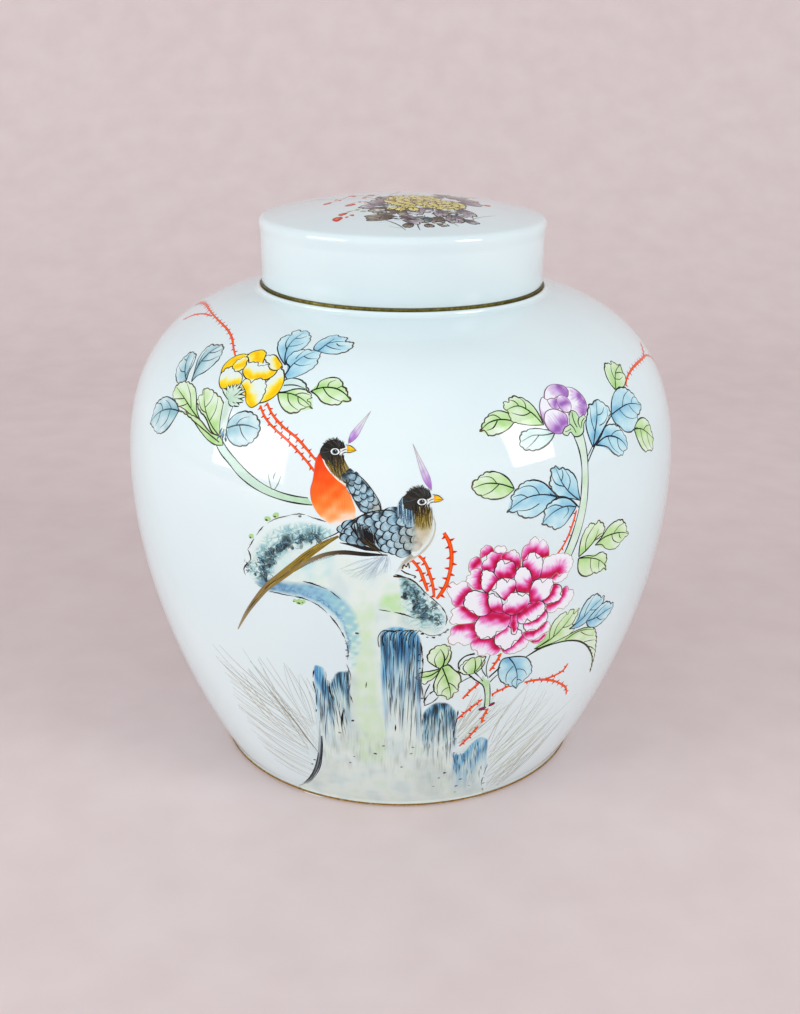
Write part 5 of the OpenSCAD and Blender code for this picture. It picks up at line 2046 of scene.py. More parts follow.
PURPLE = [
    (0, srgb(150, 96, 176)), (0.3, srgb(176, 132, 198)), (0.6, srgb(202, 172, 218)),
    (1, srgb(224, 210, 234)), (1.3, WHITE),
]
PURPLE_PETALS = [
    (
        [
            (-20, 8, 1), (-19.2, 12), (-16.6, 14.6), (-14.8, 13.4, 1), (-10, 10), (-10.4, 4, 1),
            (-15.6, 2.2), (-18.6, 3.6)
        ], [(-19.8, 7), (-18, 4)], 3.0
    ), (
        [
            (-6.2, 16.5, 1), (-4, 15.9), (-1.7, 13.6), (-0.7, 10.6), (-1.2, 8.2), (-3, 6.4), (-5.6, 6.2, 1),
            (-8.4, 9), (-8, 13)
        ], [(-2.6, 13.2), (-1.5, 10.2), (-3.6, 7)], 2.7
    ), (
        [
            (-16.4, 14.1, 1), (-14.8, 16.6), (-12, 18.2), (-8.8, 18), (-6.6, 16.8), (-6, 15.2, 1),
            (-7.2, 13.4), (-11, 14), (-14.6, 13.2)
        ], [(-8.8, 17), (-6.8, 14.6)], 4.0
    ), (
        [(-15.6, 13.4, 1), (-13.6, 13.8), (-12.2, 13.2), (-11.8, 10.6), (-13.4, 9.8), (-15.2, 11)],
        [(-13.8, 11), (-12.6, 12.6)], 1.7
    ), (
        [
            (-12.4, 11.4, 1), (-11.6, 13.6), (-9.6, 14.3), (-7.9, 13.2), (-7.2, 10.8), (-8.8, 8.4),
            (-11.2, 8.8)
        ], [(-11, 11.2), (-8.6, 12)], 2.3
    ), (
        [
            (-19.6, 7, 1), (-18, 9.6), (-15.4, 10.3), (-12.6, 9.4), (-10.6, 7.4), (-11.2, 4.6),
            (-13.6, 2.5), (-16.4, 2.3), (-18.8, 4)
        ], [(-17.2, 3), (-12, 5.4)], 3.4
    ),
]


STALK_LINE = 0.36


def twin_line(art, left, right, paint, line, layer=1):
    """A stalk: the space between two lines, filled, with each line drawn."""
    art.wash([*left, *reversed(right)], paint, layer=layer, spacing=0.7)
    art.stroke(left, wavering(STALK_LINE * 1.2, 8, len(left)), line, layer=layer + 1)
    art.stroke(right, wavering(STALK_LINE, 8, len(right) + 1), line, layer=layer + 1)


UNDER_AT = WALL_SURFACE.place(43.4, 106)
UNDER_LEAVES = [
    (
        "green", [
            (-14, 4, 1), (-14, 8), (-13, 11.6), (-11.4, 13.8), (-9, 14.9), (-7.7, 13.8, 1), (-6, 14.9),
            (-4.6, 14, 1), (-3.2, 12.8), (-2.6, 10.6, 1), (-4, 8.8), (-7, 8.2), (-10.6, 5.6)
        ], [
            [(-14, 4), (-10.6, 5.8), (-7.4, 8.4), (-5.9, 11.9)],
            [(-11.2, 5.6), (-11.2, 9.6), (-9, 12.6), (-6.8, 14.5)], [(-7, 8.6), (-5.4, 9.6), (-3.2, 9.8)]
        ]
    ), (
        "green", [
            (-6.8, 6.3, 1), (-3.8, 8.6), (-1, 11.2), (3, 12.4), (6.4, 12), (8.4, 10.3, 1), (9.6, 9),
            (9.9, 7.2, 1), (11.9, 5.2, 1), (9.8, 4.6), (8, 4), (6.9, 3.4, 1), (5.4, 2.3), (2, 2.4),
            (-1.4, 3.8), (-3.6, 5.7)
        ], [
            [(-6.8, 6.4), (-3.4, 7.9), (2, 8.1), (7, 7.2), (11.7, 5.3)],
            [(1.3, 8.1), (2.2, 6), (4.2, 4.5), (6.6, 3.6)], [(2.6, 8.4), (5, 10), (8.3, 10.2)],
            [(5.4, 7.6), (5.9, 6.1), (7, 5)]
        ]
    ), (
        "green", [
            (-14, 3.4, 1), (-10, 3.4), (-6.4, 2.4), (-3.6, 3), (-1, 1.8), (0.2, -0.2), (-0.4, -2.2, 1),
            (0.8, -5, 1), (-1.2, -4), (-3.2, -4.7), (-5.8, -4.1, 1), (-8.6, -4.5), (-11.6, -3.4),
            (-13.4, -1.4), (-14, 1)
        ], [
            [(-14, 3.4), (-9.6, 2.5), (-4.4, 0.4), (-1.4, -1.8), (0.8, -4.8)],
            [(-8.3, 2), (-8, -1), (-6.2, -4)], [(-4, 0.1), (-3.8, -2), (-3.2, -3.8)]
        ]
    ),
]


RIGHT_BRANCHES = [
    ([(-6, -8.6), (-2.2, -4.4), (2, -1), (6, 1.8), (10, 4.2)], 0.5),
    ([(18.2, -3.8), (20.6, -3.3), (23, -3.4)], 0.35),
    ([(-11, -22.6), (-14, -19.6), (-17, -18), (-20.2, -17.2), (-22.4, -16)], 0.62),
    ([(-5.8, -6.8), (-3, -4)], 0.3), ([(-20.4, 4.2), (-17.4, 3.4), (-15, 2.2)], 0.3),
]


def paint_right_spray():
    stalk = Enamel("right_stalk", RIGHT_AT)
    twin_line(
        stalk, [
            (-10, 0.6, 1), (-9, -4), (-8.8, -9), (-9.6, -16), (-10.6, -22), (-12.4, -28), (-14.6, -34),
            (-16.6, -38.4, 1)
        ], [(-6, 0.8, 1), (-5.8, -4), (-6.4, -12), (-7.4, -21), (-9, -28), (-11.4, -35), (-14, -40.4, 1)],
        cloud([(0, srgb(196, 226, 190)), (1, srgb(218, 234, 224))], seed=2, size=4, soft_edge=0.3),
        LEAF_LINES["green"], layer=1
    )
    leaves("right_leaves", RIGHT_AT, RIGHT_LEAVES, first=2).lay_down()
    leaves("under_leaves", UNDER_AT, UNDER_LEAVES, first=4).lay_down()
    for line, width in RIGHT_BRANCHES:
        stalk.stroke(line, [width * 0.6, width, width * 0.5], LEAF_LINES["blue"], layer=20)
    stalk.lay_down()

    bud = Enamel("purple_peony", RIGHT_AT)
    for i, (outline, roots, reach) in enumerate(PURPLE_PETALS):
        bud.wash(
            outline, pooled(roots, reach, PURPLE, seed=i + 40, grain=0.2, streak=0.24), layer=19 + i,
            spacing=0.4
        )
        bud.stroke(outline, wavering(0.26, 9, i), srgb(120, 84, 110), layer=19.5 + i, closed=True)
    cup = [
        (-10.6, 4.4), (-9.6, 7.2), (-7.8, 8.6), (-6.6, 8), (-5.6, 6), (-3.6, 6.4), (-2.9, 5.3), (-4.6, 3.6),
        (-5.8, 1), (-9.8, 0.4), (-11, 2), (-12.4, 1.1), (-14, 2), (-12.6, 3.8)
    ]
    bud.wash(
        cup, cloud([(0, srgb(168, 214, 146)), (1, srgb(206, 230, 196))], seed=9, soft_edge=0.2), layer=26,
        spacing=0.5
    )
    bud.stroke(cup, wavering(0.34, 12, 4), LEAF_LINES["green"], layer=27, closed=True)
    ribs = [
        [(-10.4, 4.6), (-9.4, 3.4), (-8.8, 1.4)], [(-8, 8.2), (-8.4, 5.4), (-7.8, 3)],
        [(-5.8, 6), (-6.8, 4.6), (-6.4, 2.4)], [(-3.6, 5.4), (-5.2, 4.4), (-5.9, 2.6)],
        [(-13, 2.4), (-11.6, 2.6), (-10.4, 3)],
    ]
    for k, line in enumerate(ribs):
        bud.stroke(line, wavering(0.32, 3, k), LEAF_LINES["green"], layer=27)
    bud.lay_down()

    stems = Enamel("right_coral_stems", RIGHT_AT)
    coral_stem(
        stems, [(23, 11), (26, 13), (31, 14.5), (37, 15.2), (44, 15.2), (51, 15), (56, 16), (62, 17.8)],
        0.85, layer=1, seed=11
    )
    coral_stem(stems, [(50, 15), (58, 13.6), (68, 10), (79, 5)], 0.7, layer=1.8, seed=12, thorns=4)
    coral_stem(
        stems, [(-12, -23.4), (-13.8, -28.6), (-16.2, -33.6), (-19.4, -37.4)], 0.7, layer=5, seed=13,
        thorns=2.6
    )
    stems.lay_down()


LOW_AT = WALL_SURFACE.place(25.5, 62)
LOW_LEAVES = [
    (
        "green", [
            (-28.6, 12.6, 1), (-31, 14.2), (-33.7, 17.2), (-33.4, 20), (-31.4, 22.2), (-28.8, 22.8),
            (-26.8, 22, 1), (-26, 19.6), (-26, 17), (-26.8, 14.6)
        ], [
            [(-28.4, 13), (-27.9, 16.4), (-28.6, 19), (-29.8, 21)],
            [(-30.2, 13.8), (-31.2, 16.6), (-29.8, 20.6)], [(-28, 15.6), (-27, 18.4), (-27.4, 21.6)]
        ]
    ), (
        "green", [
            (-28.8, 12.8, 1), (-32, 12), (-35.4, 11.3), (-36.5, 9.4, 1), (-35, 7.3), (-33.4, 6.2),
            (-32.2, 7.2, 1), (-30, 9.6)
        ], [[(-29.2, 12.2), (-32.2, 9.9), (-35.9, 9.4)]]
    ), (
        "green", [
            (-28.6, 13.4, 1), (-29.6, 9.6), (-30.1, 5.6), (-29.3, 2.4), (-27.8, 0.6, 1), (-26.2, 0.8),
            (-24.4, -1.2), (-23, -0.6, 1), (-22.6, 1.2), (-21.4, 2.2), (-21.7, 4.8, 1), (-21.1, 6.4),
            (-21.8, 9.4), (-24, 11.8), (-26.6, 14.2)
        ], [
            [(-28.2, 13.2), (-26, 8), (-24.2, 3), (-23.4, -0.8)], [(-27.2, 10.2), (-28.8, 6), (-28, 1.2)],
            [(-25.4, 6.6), (-23, 4.6), (-21.8, 2.8)], [(-25, 4.4), (-26.6, 3.2), (-26.8, 1.2)]
        ]
    ), (
        "green", [
            (-16.4, 9.8, 1), (-20, 9.4), (-22.4, 10.8), (-22.2, 13.6), (-20.4, 15.7), (-17.6, 16.5),
            (-14, 16.3, 1), (-13.9, 13.8), (-14.8, 11.4)
        ], [
            [(-17, 9.8), (-17, 13), (-17.8, 16.2)], [(-19.4, 9.8), (-21.2, 12.4), (-19.6, 15.6)],
            [(-16.6, 10.4), (-15.2, 13), (-15.6, 16)]
        ]
    ), (
        "blue", [
            (-5.4, 14.2, 1), (-7.4, 14), (-8.5, 10.4), (-7.8, 6.4), (-6, 3.4), (-3.8, 1.9, 1), (-2.4, 0.7),
            (-1, 0.3), (0.1, -1.2, 1), (0.9, 1), (2.4, 1.8), (3.2, 3, 1), (4.8, 4.6), (4.8, 7), (3.6, 10),
            (1.4, 12.6), (-1.6, 13.8)
        ], [
            [(-5.2, 13.9), (-2.8, 10.6), (-1, 6.4), (0, -0.8)], [(-3, 10), (-4.8, 7.4), (-4.4, 2.8)],
            [(-1.8, 8.4), (1.2, 7.4), (3.2, 4.4)], [(-0.8, 4.8), (-2.2, 2.8), (-1.6, 1)],
            [(-0.5, 3.4), (0.8, 3), (1.8, 1.9)]
        ]
    ), (
        "green", [
            (4, 15.6, 1), (7.6, 17.2), (9.4, 18.4), (9.2, 21), (9.9, 24.6), (12, 27), (14.6, 27.9),
            (15.9, 26.8, 1), (17, 28.4), (18.5, 27.6), (18.7, 25.8, 1), (20.8, 27.6), (20.4, 24.6),
            (19.2, 22), (20.6, 19.8), (18, 17), (12, 15.6)
        ], [
            [(5, 16), (11.4, 18.8), (15, 22), (18.4, 26.4)], [(11.2, 18.8), (11.8, 22.6), (15.4, 26.8)],
            [(14.6, 21.6), (17, 21.4), (19.4, 22.4)]
        ]
    ), (
        "blue", [
            (17.8, 20, 1), (21, 22.4), (22, 26.2), (24, 29.6), (27, 31), (29.8, 30.4), (31.2, 28.8, 1),
            (33.4, 28.4), (33.2, 25.8), (31.4, 23.8, 1), (28, 21.4), (22, 19.4)
        ], [
            [(18.4, 20.2), (24, 23), (28.4, 26.2), (33, 28)], [(24, 23), (24.8, 26.4), (27.6, 30.4)],
            [(26.8, 25), (29.4, 24.2), (31.8, 24.4)]
        ]
    ), (
        "blue", [
            (25.8, 20.8, 1), (28.6, 23.2), (32.4, 25.2), (36, 25.4), (38.2, 24, 1), (40.2, 23),
            (40.6, 21, 1), (38.4, 18.4), (34.4, 16.4), (30, 16.4), (27, 18.4)
        ], [
            [(26.2, 20.6), (31, 20.4), (36, 21.4), (40.2, 21.4)], [(29.4, 20.4), (32, 22.8), (36.4, 24.6)],
            [(31.4, 20.4), (33.6, 18.6), (37, 18)]
        ]
    ), (
        "green", [
            (1.6, 13, 1), (6, 15.4), (12, 16.2), (17, 17.2), (22, 18.1), (27, 17.7), (31, 16), (33.6, 12),
            (35.4, 6), (36.6, 0), (36.8, -7, 1), (34.8, 1.4), (31.8, 6), (27.8, 10.2), (22.8, 13.4),
            (17.8, 15), (12, 15.5), (6, 14.8)
        ], [
            [(17, 15.8), (22, 17.4), (27, 16.8), (31, 15.2)], [(27, 11.4), (30, 10.8), (33.4, 9.8)],
            [(24, 16.8), (28, 14), (32, 12.4)], [(30, 8.4), (33, 6.4), (35, 4.6)]
        ]
    ),
]


def paint_low_spray():
    art = leaves("low_leaves", LOW_AT, LOW_LEAVES, first=2)
    art.stroke(
        [
            (1, 12.8), (5, 14.8), (12, 15.6), (18, 15), (23, 13.3), (28, 10), (32, 5.6), (35, 1),
            (36.8, -6.8)
        ], [0.3, 0.5, 0.62, 0.7, 0.66, 0.5, 0.2], LEAF_LINES["green"], layer=16
    )
    art.stroke(
        [(-22.6, 12), (-22.9, 15), (-21.2, 17.2), (-18, 17.9)], [0.3, 0.5, 0.45, 0.7], LEAF_LINES["green"],
        layer=16
    )
    stalk = [
        (-17.4, 8.4), (-14.6, 6.2), (-13.4, 9), (-12.6, 6.6), (-10.6, 5.4), (-10.2, 3), (-9.7, 0),
        (-9, -5.8), (-10.7, -6.8), (-11.8, 0), (-12.8, 3)
    ]
    art.wash(
        stalk, cloud([(0, srgb(168, 214, 148)), (1, srgb(214, 232, 214))], seed=5, size=5, soft_edge=0.2),
        layer=15, spacing=0.6
    )
    lines = [
        [(-18.8, 9.2), (-16.6, 7), (-12.8, 3.2), (-11.7, 0), (-10.6, -6.8)],
        [(-10.6, 3.8), (-9.8, 0), (-8.9, -5.8)], [(-16.8, 9.8), (-15, 7.8), (-13.4, 5.6)],
        [(-13.8, 16.2), (-14.8, 12.4), (-12.4, 7.4)], [(-12.4, 16.6), (-13, 11), (-11.6, 6.2)],
        [(-11.4, 6.8), (-9.8, 8.6), (-8, 10.6)], [(-10.6, 4.6), (-9.4, 6.4), (-8, 7.6)],
        [(-21, 6.2), (-19, 7.6), (-17.4, 8.2)], [(-31.4, 6.4), (-32.4, 2), (-31.8, -3.6)],
        [(-31.8, -3.4), (-29.4, -2), (-27.8, 0.2)], [(-26.4, 14.6), (-23.6, 11.6), (-21.6, 10.6)],
    ]
    for k, line in enumerate(lines):
        art.stroke(line, wavering(0.46 if k in (0, 5) else 0.32, 5, k), LEAF_LINES["green"], layer=16.5)
    for at, size, angle in (((-11.2, -7.6), 1.15, 14), ((-8, -6.2), 1.0, 30)):
        daub(art, at, size, srgb(158, 30, 78), layer=17, seed=int(angle), stretch=2.0, angle=angle)
        ring = turned_to(angle, size / 2, at)(oval(2.2, 1.1, 9))
        art.stroke(ring, 0.26, srgb(66, 20, 40), layer=18, closed=True)
    art.lay_down()

    stems = Enamel("low_coral_stems", LOW_AT)
    twigs = [
        [(-14.4, 5), (-17, 2), (-19.2, -1.6)], [(-12, -3), (-16, -7), (-19.6, -11.4)],
        [(-3, 1.2), (-6, 0), (-9, -1.4)],
        [(3, 1.2), (8, 0.8), (12, -0.4), (17, -3), (21, -6), (24, -9), (25.6, -13)],
        [(12, 0), (16, 0.2), (19.6, 1.2), (21.2, 3.8)], [(-9, -8), (-10, -12), (-10, -15)],
        [(-11, -16.4), (-13, -21), (-15.8, -26)], [(-8.6, 16.6), (-9.6, 13.6), (-11.6, 9.6)],
    ]
    for k, twig in enumerate(twigs):
        coral_stem(stems, twig, 0.85, layer=10 + 0.9 * (k % 3), seed=20 + k)
    stems.lay_down()


def paint_middle_stems():
    """The stalk that runs down to the birds, and the red branches behind them."""
    art = Enamel("middle_stalk", BIRDS_AT)
    twin_line(
        art, [
            (-43.4, 18.6, 1), (-40.4, 15.4), (-38, 13.8), (-32, 9.5), (-25, 6.5), (-18, 5), (-12, 4.5),
            (-6.5, 4.5, 1)
        ], [(-41.4, 21, 1), (-38, 17.6), (-34, 14.8), (-28, 11), (-22, 8.4), (-14, 6.8), (-8, 6.6, 1)],
        along(
            (-42, 20), (-7, 5),
            [(0, srgb(206, 230, 222)), (0.6, srgb(196, 224, 204)), (1, srgb(176, 214, 178))], seed=4
        ), LEAF_LINES["green"], layer=2
    )
    shoots = [
        [(-20.4, 7.6), (-21.4, 10.4), (-21.8, 12.4)], [(-19.4, 7.8), (-18, 10.4), (-17.4, 12.4)],
        [(-20, 11), (-19.6, 12.6), (-19.2, 13.2)],
    ]
    for line in shoots:
        art.stroke(line, [0.25, 0.35, 0.1], srgb(120, 150, 120), layer=4)
    art.lay_down()
    stems = Enamel("middle_coral_stems", BIRDS_AT)
    coral_stem(
        stems, [(26, -9.4), (28.6, -12), (30.6, -17), (31.6, -21), (32, -25)], 1.0, layer=7, seed=31,
        thorns=2
    )
    coral_stem(
        stems, [(24.4, -11.2), (27, -14.4), (28.6, -18.4), (30, -22.8)], 1.0, layer=7.6, seed=32, thorns=2
    )
    coral_stem(
        stems, [(34.8, -3), (36.6, -6.4), (37.4, -11), (36.8, -17), (35.4, -21.6), (32.8, -25.6)], 1.2,
        layer=8.4, seed=33, thorns=2
    )
    stems.lay_down()


def paint_grass():
    art = Enamel("grass", ROCK_AT)
    dry = [
        srgb(166, 154, 128, 0.7), srgb(140, 128, 96, 0.66), srgb(180, 172, 152, 0.62),
        srgb(120, 110, 78, 0.6)
    ]
    green = [srgb(160, 184, 128, 0.6), srgb(178, 194, 150, 0.6)]
    hairs(
        art, 34, [(-62, 18), (-56, -6), (-44, -34)], [(-22, -6), (-22, -22), (-27, -42)], 0.3, dry, 1,
        bend=0.06, seed=1, jitter=2.5
    )
    hairs(art, 12, [(-40, 24), (-52, 6)], [(-22, -16), (-24, -26)], 0.36, dry, 2, bend=0.08, seed=2, jitter=2)
    hairs(art, 8, [(-33, 20), (-24, 14)], [(-24, -6), (-22, -12)], 0.2, dry, 2, bend=0.1, seed=3, jitter=1.5)
    art.stroke(
        [(-41, 9), (-36, 1), (-30.6, -7), (-26.4, -15), (-22.8, -21.6)], [0.1, 0.3, 0.55, 0.7, 0.3],
        srgb(122, 116, 84, 0.85), layer=3.4
    )
    art.stroke(
        [(-49, 22), (-41, 9), (-33, -6), (-26, -22)], [0.05, 0.25, 0.4, 0.2], srgb(150, 144, 116, 0.7),
        layer=3.4
    )
    hairs(
        art, 26, [(26.4, -6), (27, -12), (28, -16)], [(34, 14), (40, 8), (46, 0)], 0.3, dry + green, 1,
        bend=0.1, seed=4, jitter=1.5
    )
    hairs(
        art, 34, [(38, -18), (38.6, -34), (37.6, -48)], [(52, 12), (66, -6), (60, -30)], 0.3, dry + green,
        1, bend=0.12, seed=5, jitter=2.5
    )
    hairs(art, 12, [(40, -46), (46, -48)], [(58, -20), (76, -16)], 0.34, dry, 2, bend=0.1, seed=6, jitter=2)
    art.stroke(
        [(42, -40), (52, -26), (64, -15), (78, -6)], [0.1, 0.5, 0.4, 0.1], srgb(186, 182, 164, 0.7),
        layer=3.4
    )
    art.lay_down()


paint_right_spray()
paint_low_spray()
paint_middle_stems()
paint_grass()


# ---------------------------------------------------------------- the flowers on top of the lid

LID_YELLOW = [
    (0, srgb(184, 154, 24)), (0.35, srgb(220, 202, 60)), (0.8, srgb(234, 226, 132)),
    (1.2, srgb(238, 236, 196))
]
LID_STONE = [
    (0, srgb(66, 58, 60)), (0.4, srgb(116, 106, 114)), (0.8, srgb(164, 158, 166)),
    (1.2, srgb(208, 210, 214))
]
LID_OLIVE = [
    (0, srgb(54, 44, 30)), (0.4, srgb(92, 80, 62)), (0.8, srgb(146, 138, 120)), (1.2, srgb(200, 198, 186))
]
LID_TEAL = [(0, srgb(52, 70, 70)), (0.5, srgb(98, 128, 126)), (1.1, srgb(168, 190, 186))]
LID_INK = srgb(30, 24, 20)


def petal(art, at, angle, length, breadth, stops, layer, seed, lobes=3, ribs=3):
    """A petal or lobed leaf that grows from a place in the direction of angle, with ribs fanned along it."""
    draw = random.Random(seed)
    to = turned_to(angle, 1.0, at)
    half = breadth / 2
    shape = [(0, 0, 1), (length * 0.35, half * draw.uniform(0.8, 1)), (length * 0.72, half)]
    for k in range(lobes):
        across = half * (1 - (2 * k + 1) / lobes)
        bulge = length * (1 - 0.12 * abs(across) / half + draw.uniform(-0.04, 0.08))
        shape.append((bulge, across))
        if k < lobes - 1:
            shape.append((bulge * 0.91, half * (1 - (2 * k + 2) / lobes), 1))
    shape += [(length * 0.72, -half), (length * 0.35, -half * draw.uniform(0.8, 1))]
    root = to([(0, half * 0.4), (0, -half * 0.4)])
    art.wash(
        to(shape), pooled(root, length, stops, seed=seed, grain=0.2, streak=0.2), layer=layer, spacing=0.5
    )
    art.stroke(to(shape), wavering(0.42, 9, seed), LID_INK, layer=layer + 0.6, closed=True)
    for k in range(ribs):
        turn = (k - (ribs - 1) / 2) * 0.32
        rib = [
            (length * 0.12, half * turn * 0.4), (length * 0.5, half * turn * 1.4),
            (length * 0.84, half * turn * 2.2)
        ]
        art.stroke(to(rib), [0.32, 0.24, 0.05], LID_INK, layer=layer + 0.7)


def blossom(art, at, across, deep, rings, layer, seed):
    """A full flower seen from above: rings of petals, the outer ones laid first."""
    draw = random.Random(seed)
    for ring, count in enumerate(rings):
        reach = 1 - ring / len(rings)
        for k in range(count):
            a = math.radians((k + 0.5 * (ring % 2)) * 360 / count + draw.uniform(-8, 8))
            start = (
                at[0] + across * (reach - 0.42) * math.cos(a), at[1] + deep * (reach - 0.42) * math.sin(a)
            )
            length = 0.46 * math.hypot(across * math.cos(a), deep * math.sin(a)) * draw.uniform(0.9, 1.15)
            breadth = 2.4 * math.pi * math.sqrt(across * deep) * max(reach, 0.3) / count
            petal(
                art, start, math.degrees(a), length, breadth, LID_YELLOW, layer + 1.2 * (ring * 2 + k % 2),
                seed + 20 * ring + k, ribs=2
            )


def paint_lid():
    art = Enamel("lid_flowers", lid_sheet, LID)
    lobes = [
        ((14, 3), 88, 7, 6, LID_OLIVE), ((17, -2), 70, 9, 7, LID_STONE), ((19.5, -4), 42, 8, 7, LID_STONE),
        ((19, -8), 5, 8.5, 7, LID_STONE), ((12.4, -3), 100, 6, 5, LID_OLIVE),
        ((-3, -9), 128, 8.5, 6.5, LID_OLIVE), ((-4, -13), 160, 8.5, 7.5, LID_STONE),
        ((-4.6, -17), 192, 10, 6, LID_STONE), ((-4, -20), 222, 9, 6, LID_OLIVE),
        ((-1, -24), 214, 9, 6, LID_OLIVE), ((2, -24), 262, 7, 6, LID_OLIVE),
        ((-1.6, -32), 184, 11, 6.4, LID_OLIVE), ((-1, -31), 318, 10, 6, LID_STONE),
        ((4, -21), 272, 9, 5.6, LID_STONE), ((8.6, -19), 258, 8, 5, LID_STONE),
        ((12.6, -22), 280, 8.5, 6, LID_STONE), ((15, -20), 296, 6, 6, LID_OLIVE),
        ((18, -18), 300, 11, 6.4, LID_STONE), ((17.4, -26), 272, 10, 6, LID_STONE),
        ((13, -30), 250, 8, 5.4, LID_OLIVE), ((10, -33), 200, 6, 6.4, LID_TEAL),
        ((3, -38), 244, 4.6, 3.2, LID_OLIVE), ((8.4, -38), 282, 3.4, 3, LID_OLIVE),
        ((11, -35), 306, 6, 3, LID_OLIVE), ((20, -31), 330, 6, 3.4, LID_STONE),
    ]
    for k, (at, angle, length, breadth, stops) in enumerate(lobes):
        petal(art, at, angle, length, breadth, stops, 3 + 0.9 * (k % 9), 60 + k, lobes=2 + k % 2)
    blossom(art, (4, -9), 9.6, 12, (11, 9, 6), 12, 7)
    blossom(art, (14.2, -14), 7, 7.6, (9, 6, 4), 19, 8)
    for k, (at, angle) in enumerate([((0.4, -20), 250), ((-1.8, -19), 232), ((3, -20), 282)]):
        petal(art, at, angle, 5.4, 3.6, LID_YELLOW, 20 + k, 90 + k, ribs=1)
    for k in range(84):
        draw = random.Random(300 + k)
        bare = k % 3 == 0
        at = (draw.uniform(-9, 21), draw.uniform(-38, -19 if bare else -1))
        tick = turned_to(draw.uniform(-20, 40) if bare else draw.uniform(0, 360), draw.uniform(0.8, 1.7), at)
        art.stroke(tick([(-1, 0), (0, 0.25), (1, 0)]), [0.2, 1.2, 0.2] if bare else [0.1, 0.45, 0.1],
                   srgb(206, 218, 222) if bare else LID_INK, layer=26 if bare else 27)

    twigs = [
        ([(-34.6, 10.6), (-30, 4.6), (-24, -0.6), (-16, -3.6), (-9, -9)], srgb(176, 186, 176)),
        ([(-13, -20), (-17, -23), (-19.6, -26.6), (-21.8, -31)], srgb(168, 178, 140)),
        ([(-10, -12), (-13, -11), (-15.4, -9.8), (-18.4, -13.6)], srgb(176, 172, 140)),
        ([(-8, -8), (-12, -2), (-14.4, 3), (-18.4, 4.8), (-22, -2.6), (-26.4, -7.4)], srgb(156, 136, 104)),
        ([(-6, -8), (-8, -1), (-11.4, 2.8)], srgb(156, 136, 104)),
        ([(-2, -6), (-4, -1.4)], srgb(156, 136, 104)),
        ([(-5, 2), (-3, 8), (-1.8, 12), (-1.6, 17)], srgb(170, 164, 132)),
        ([(-3, 8), (2, 9.6), (6, 12.6)], srgb(190, 194, 178)),
        ([(12, 1), (17, 6), (22, 8), (27, 11.6)], srgb(168, 158, 92)),
        ([(24, -2), (26.6, -5.4), (29.6, -6)], srgb(186, 120, 96)),
        ([(-6, -35), (-3.4, -37.6), (-1.4, -40), (1, -44.6)], srgb(66, 66, 46)),
        ([(5.2, -36), (5, -40), (5.8, -44.4)], srgb(92, 70, 44)),
        ([(21, -34), (24.6, -28), (32, -20.6)], srgb(170, 186, 156)),
        ([(15.6, -34), (18.6, -38.6)], srgb(150, 170, 130)),
        ([(21.4, -23), (23.6, -28), (23.2, -34)], srgb(150, 164, 134)),
        ([(-4.6, -41), (-1, -42.6), (2, -42.4)], srgb(188, 206, 178)),
    ]
    for k, (line, colour) in enumerate(twigs):
        art.stroke(line, [0.2, 0.5, 0.45, 0.15], colour, layer=1 + 0.2 * k)
    berries = [
        ((-26.4, -7.6), 2.6, 62), ((-23.6, -1.8), 1.3, 75), ((-22.2, -4), 1.2, 80), ((-18.6, 5), 2.6, 70),
        ((-17.4, 3.2), 1.8, 100), ((-11.2, 3), 2.8, 80), ((-4.2, -1.2), 2.7, 100), ((-13.6, -2.4), 2.0, 95),
        ((-18, -14), 3.0, 50), ((-15, -10.2), 1.3, 110), ((-13, -10.8), 1.2, 100),
        ((-21.8, -31.4), 3.4, 70), ((-20.2, -26.2), 2.6, 40), ((-17, -28.4), 1.6, 100),
        ((-18.7, -30), 1.2, 60), ((26, -4), 2.0, 120), ((29.8, -6.2), 2.6, 80), ((24.8, -2.6), 1.3, 100),
    ]
    for k, (at, size, angle) in enumerate(berries):
        deep = k in (8, 11, 12)
        daub(
            art, at, size, srgb(196, 40, 0) if deep else srgb(196, 80, 50), layer=5 + 0.4 * (k % 3), seed=k,
            stretch=1.5, angle=angle
        )
        daub(
            art, (at[0] - 0.2, at[1] + 0.3), size * 0.36, srgb(224, 116, 70), layer=7, seed=k + 40,
            stretch=1.4, angle=angle
        )
    for k, at in enumerate([(18.4, 7), (21.6, 9), (23.2, 6), (25.6, 10.4), (-1.7, 14.6), (16.4, 9.6)]):
        daub(art, at, 1.5, srgb(172, 156, 78), layer=5, seed=k + 80, stretch=1.8, angle=70)
    for k, at in enumerate([(-18, -23.6), (-15.4, -22), (-13.4, -24.6), (-12, -13)]):
        daub(art, at, 1.4, srgb(160, 184, 142), layer=5, seed=k + 90, stretch=1.9, angle=30 + 60 * k)
    art.lay_down()


paint_lid()


# ---------------------------------------------------------------- the side that faces away

BACK_AT = WALL_SURFACE.place(172, 150)


def mirrored(items, to):
    """The same leaves, turned over and moved."""
    return [
        (
            kind, to([(-p[0], *p[1:]) for p in outline]),
            [to([(-p[0], *p[1:]) for p in vein]) for vein in veins]
        ) for kind, outline, veins in items
    ]


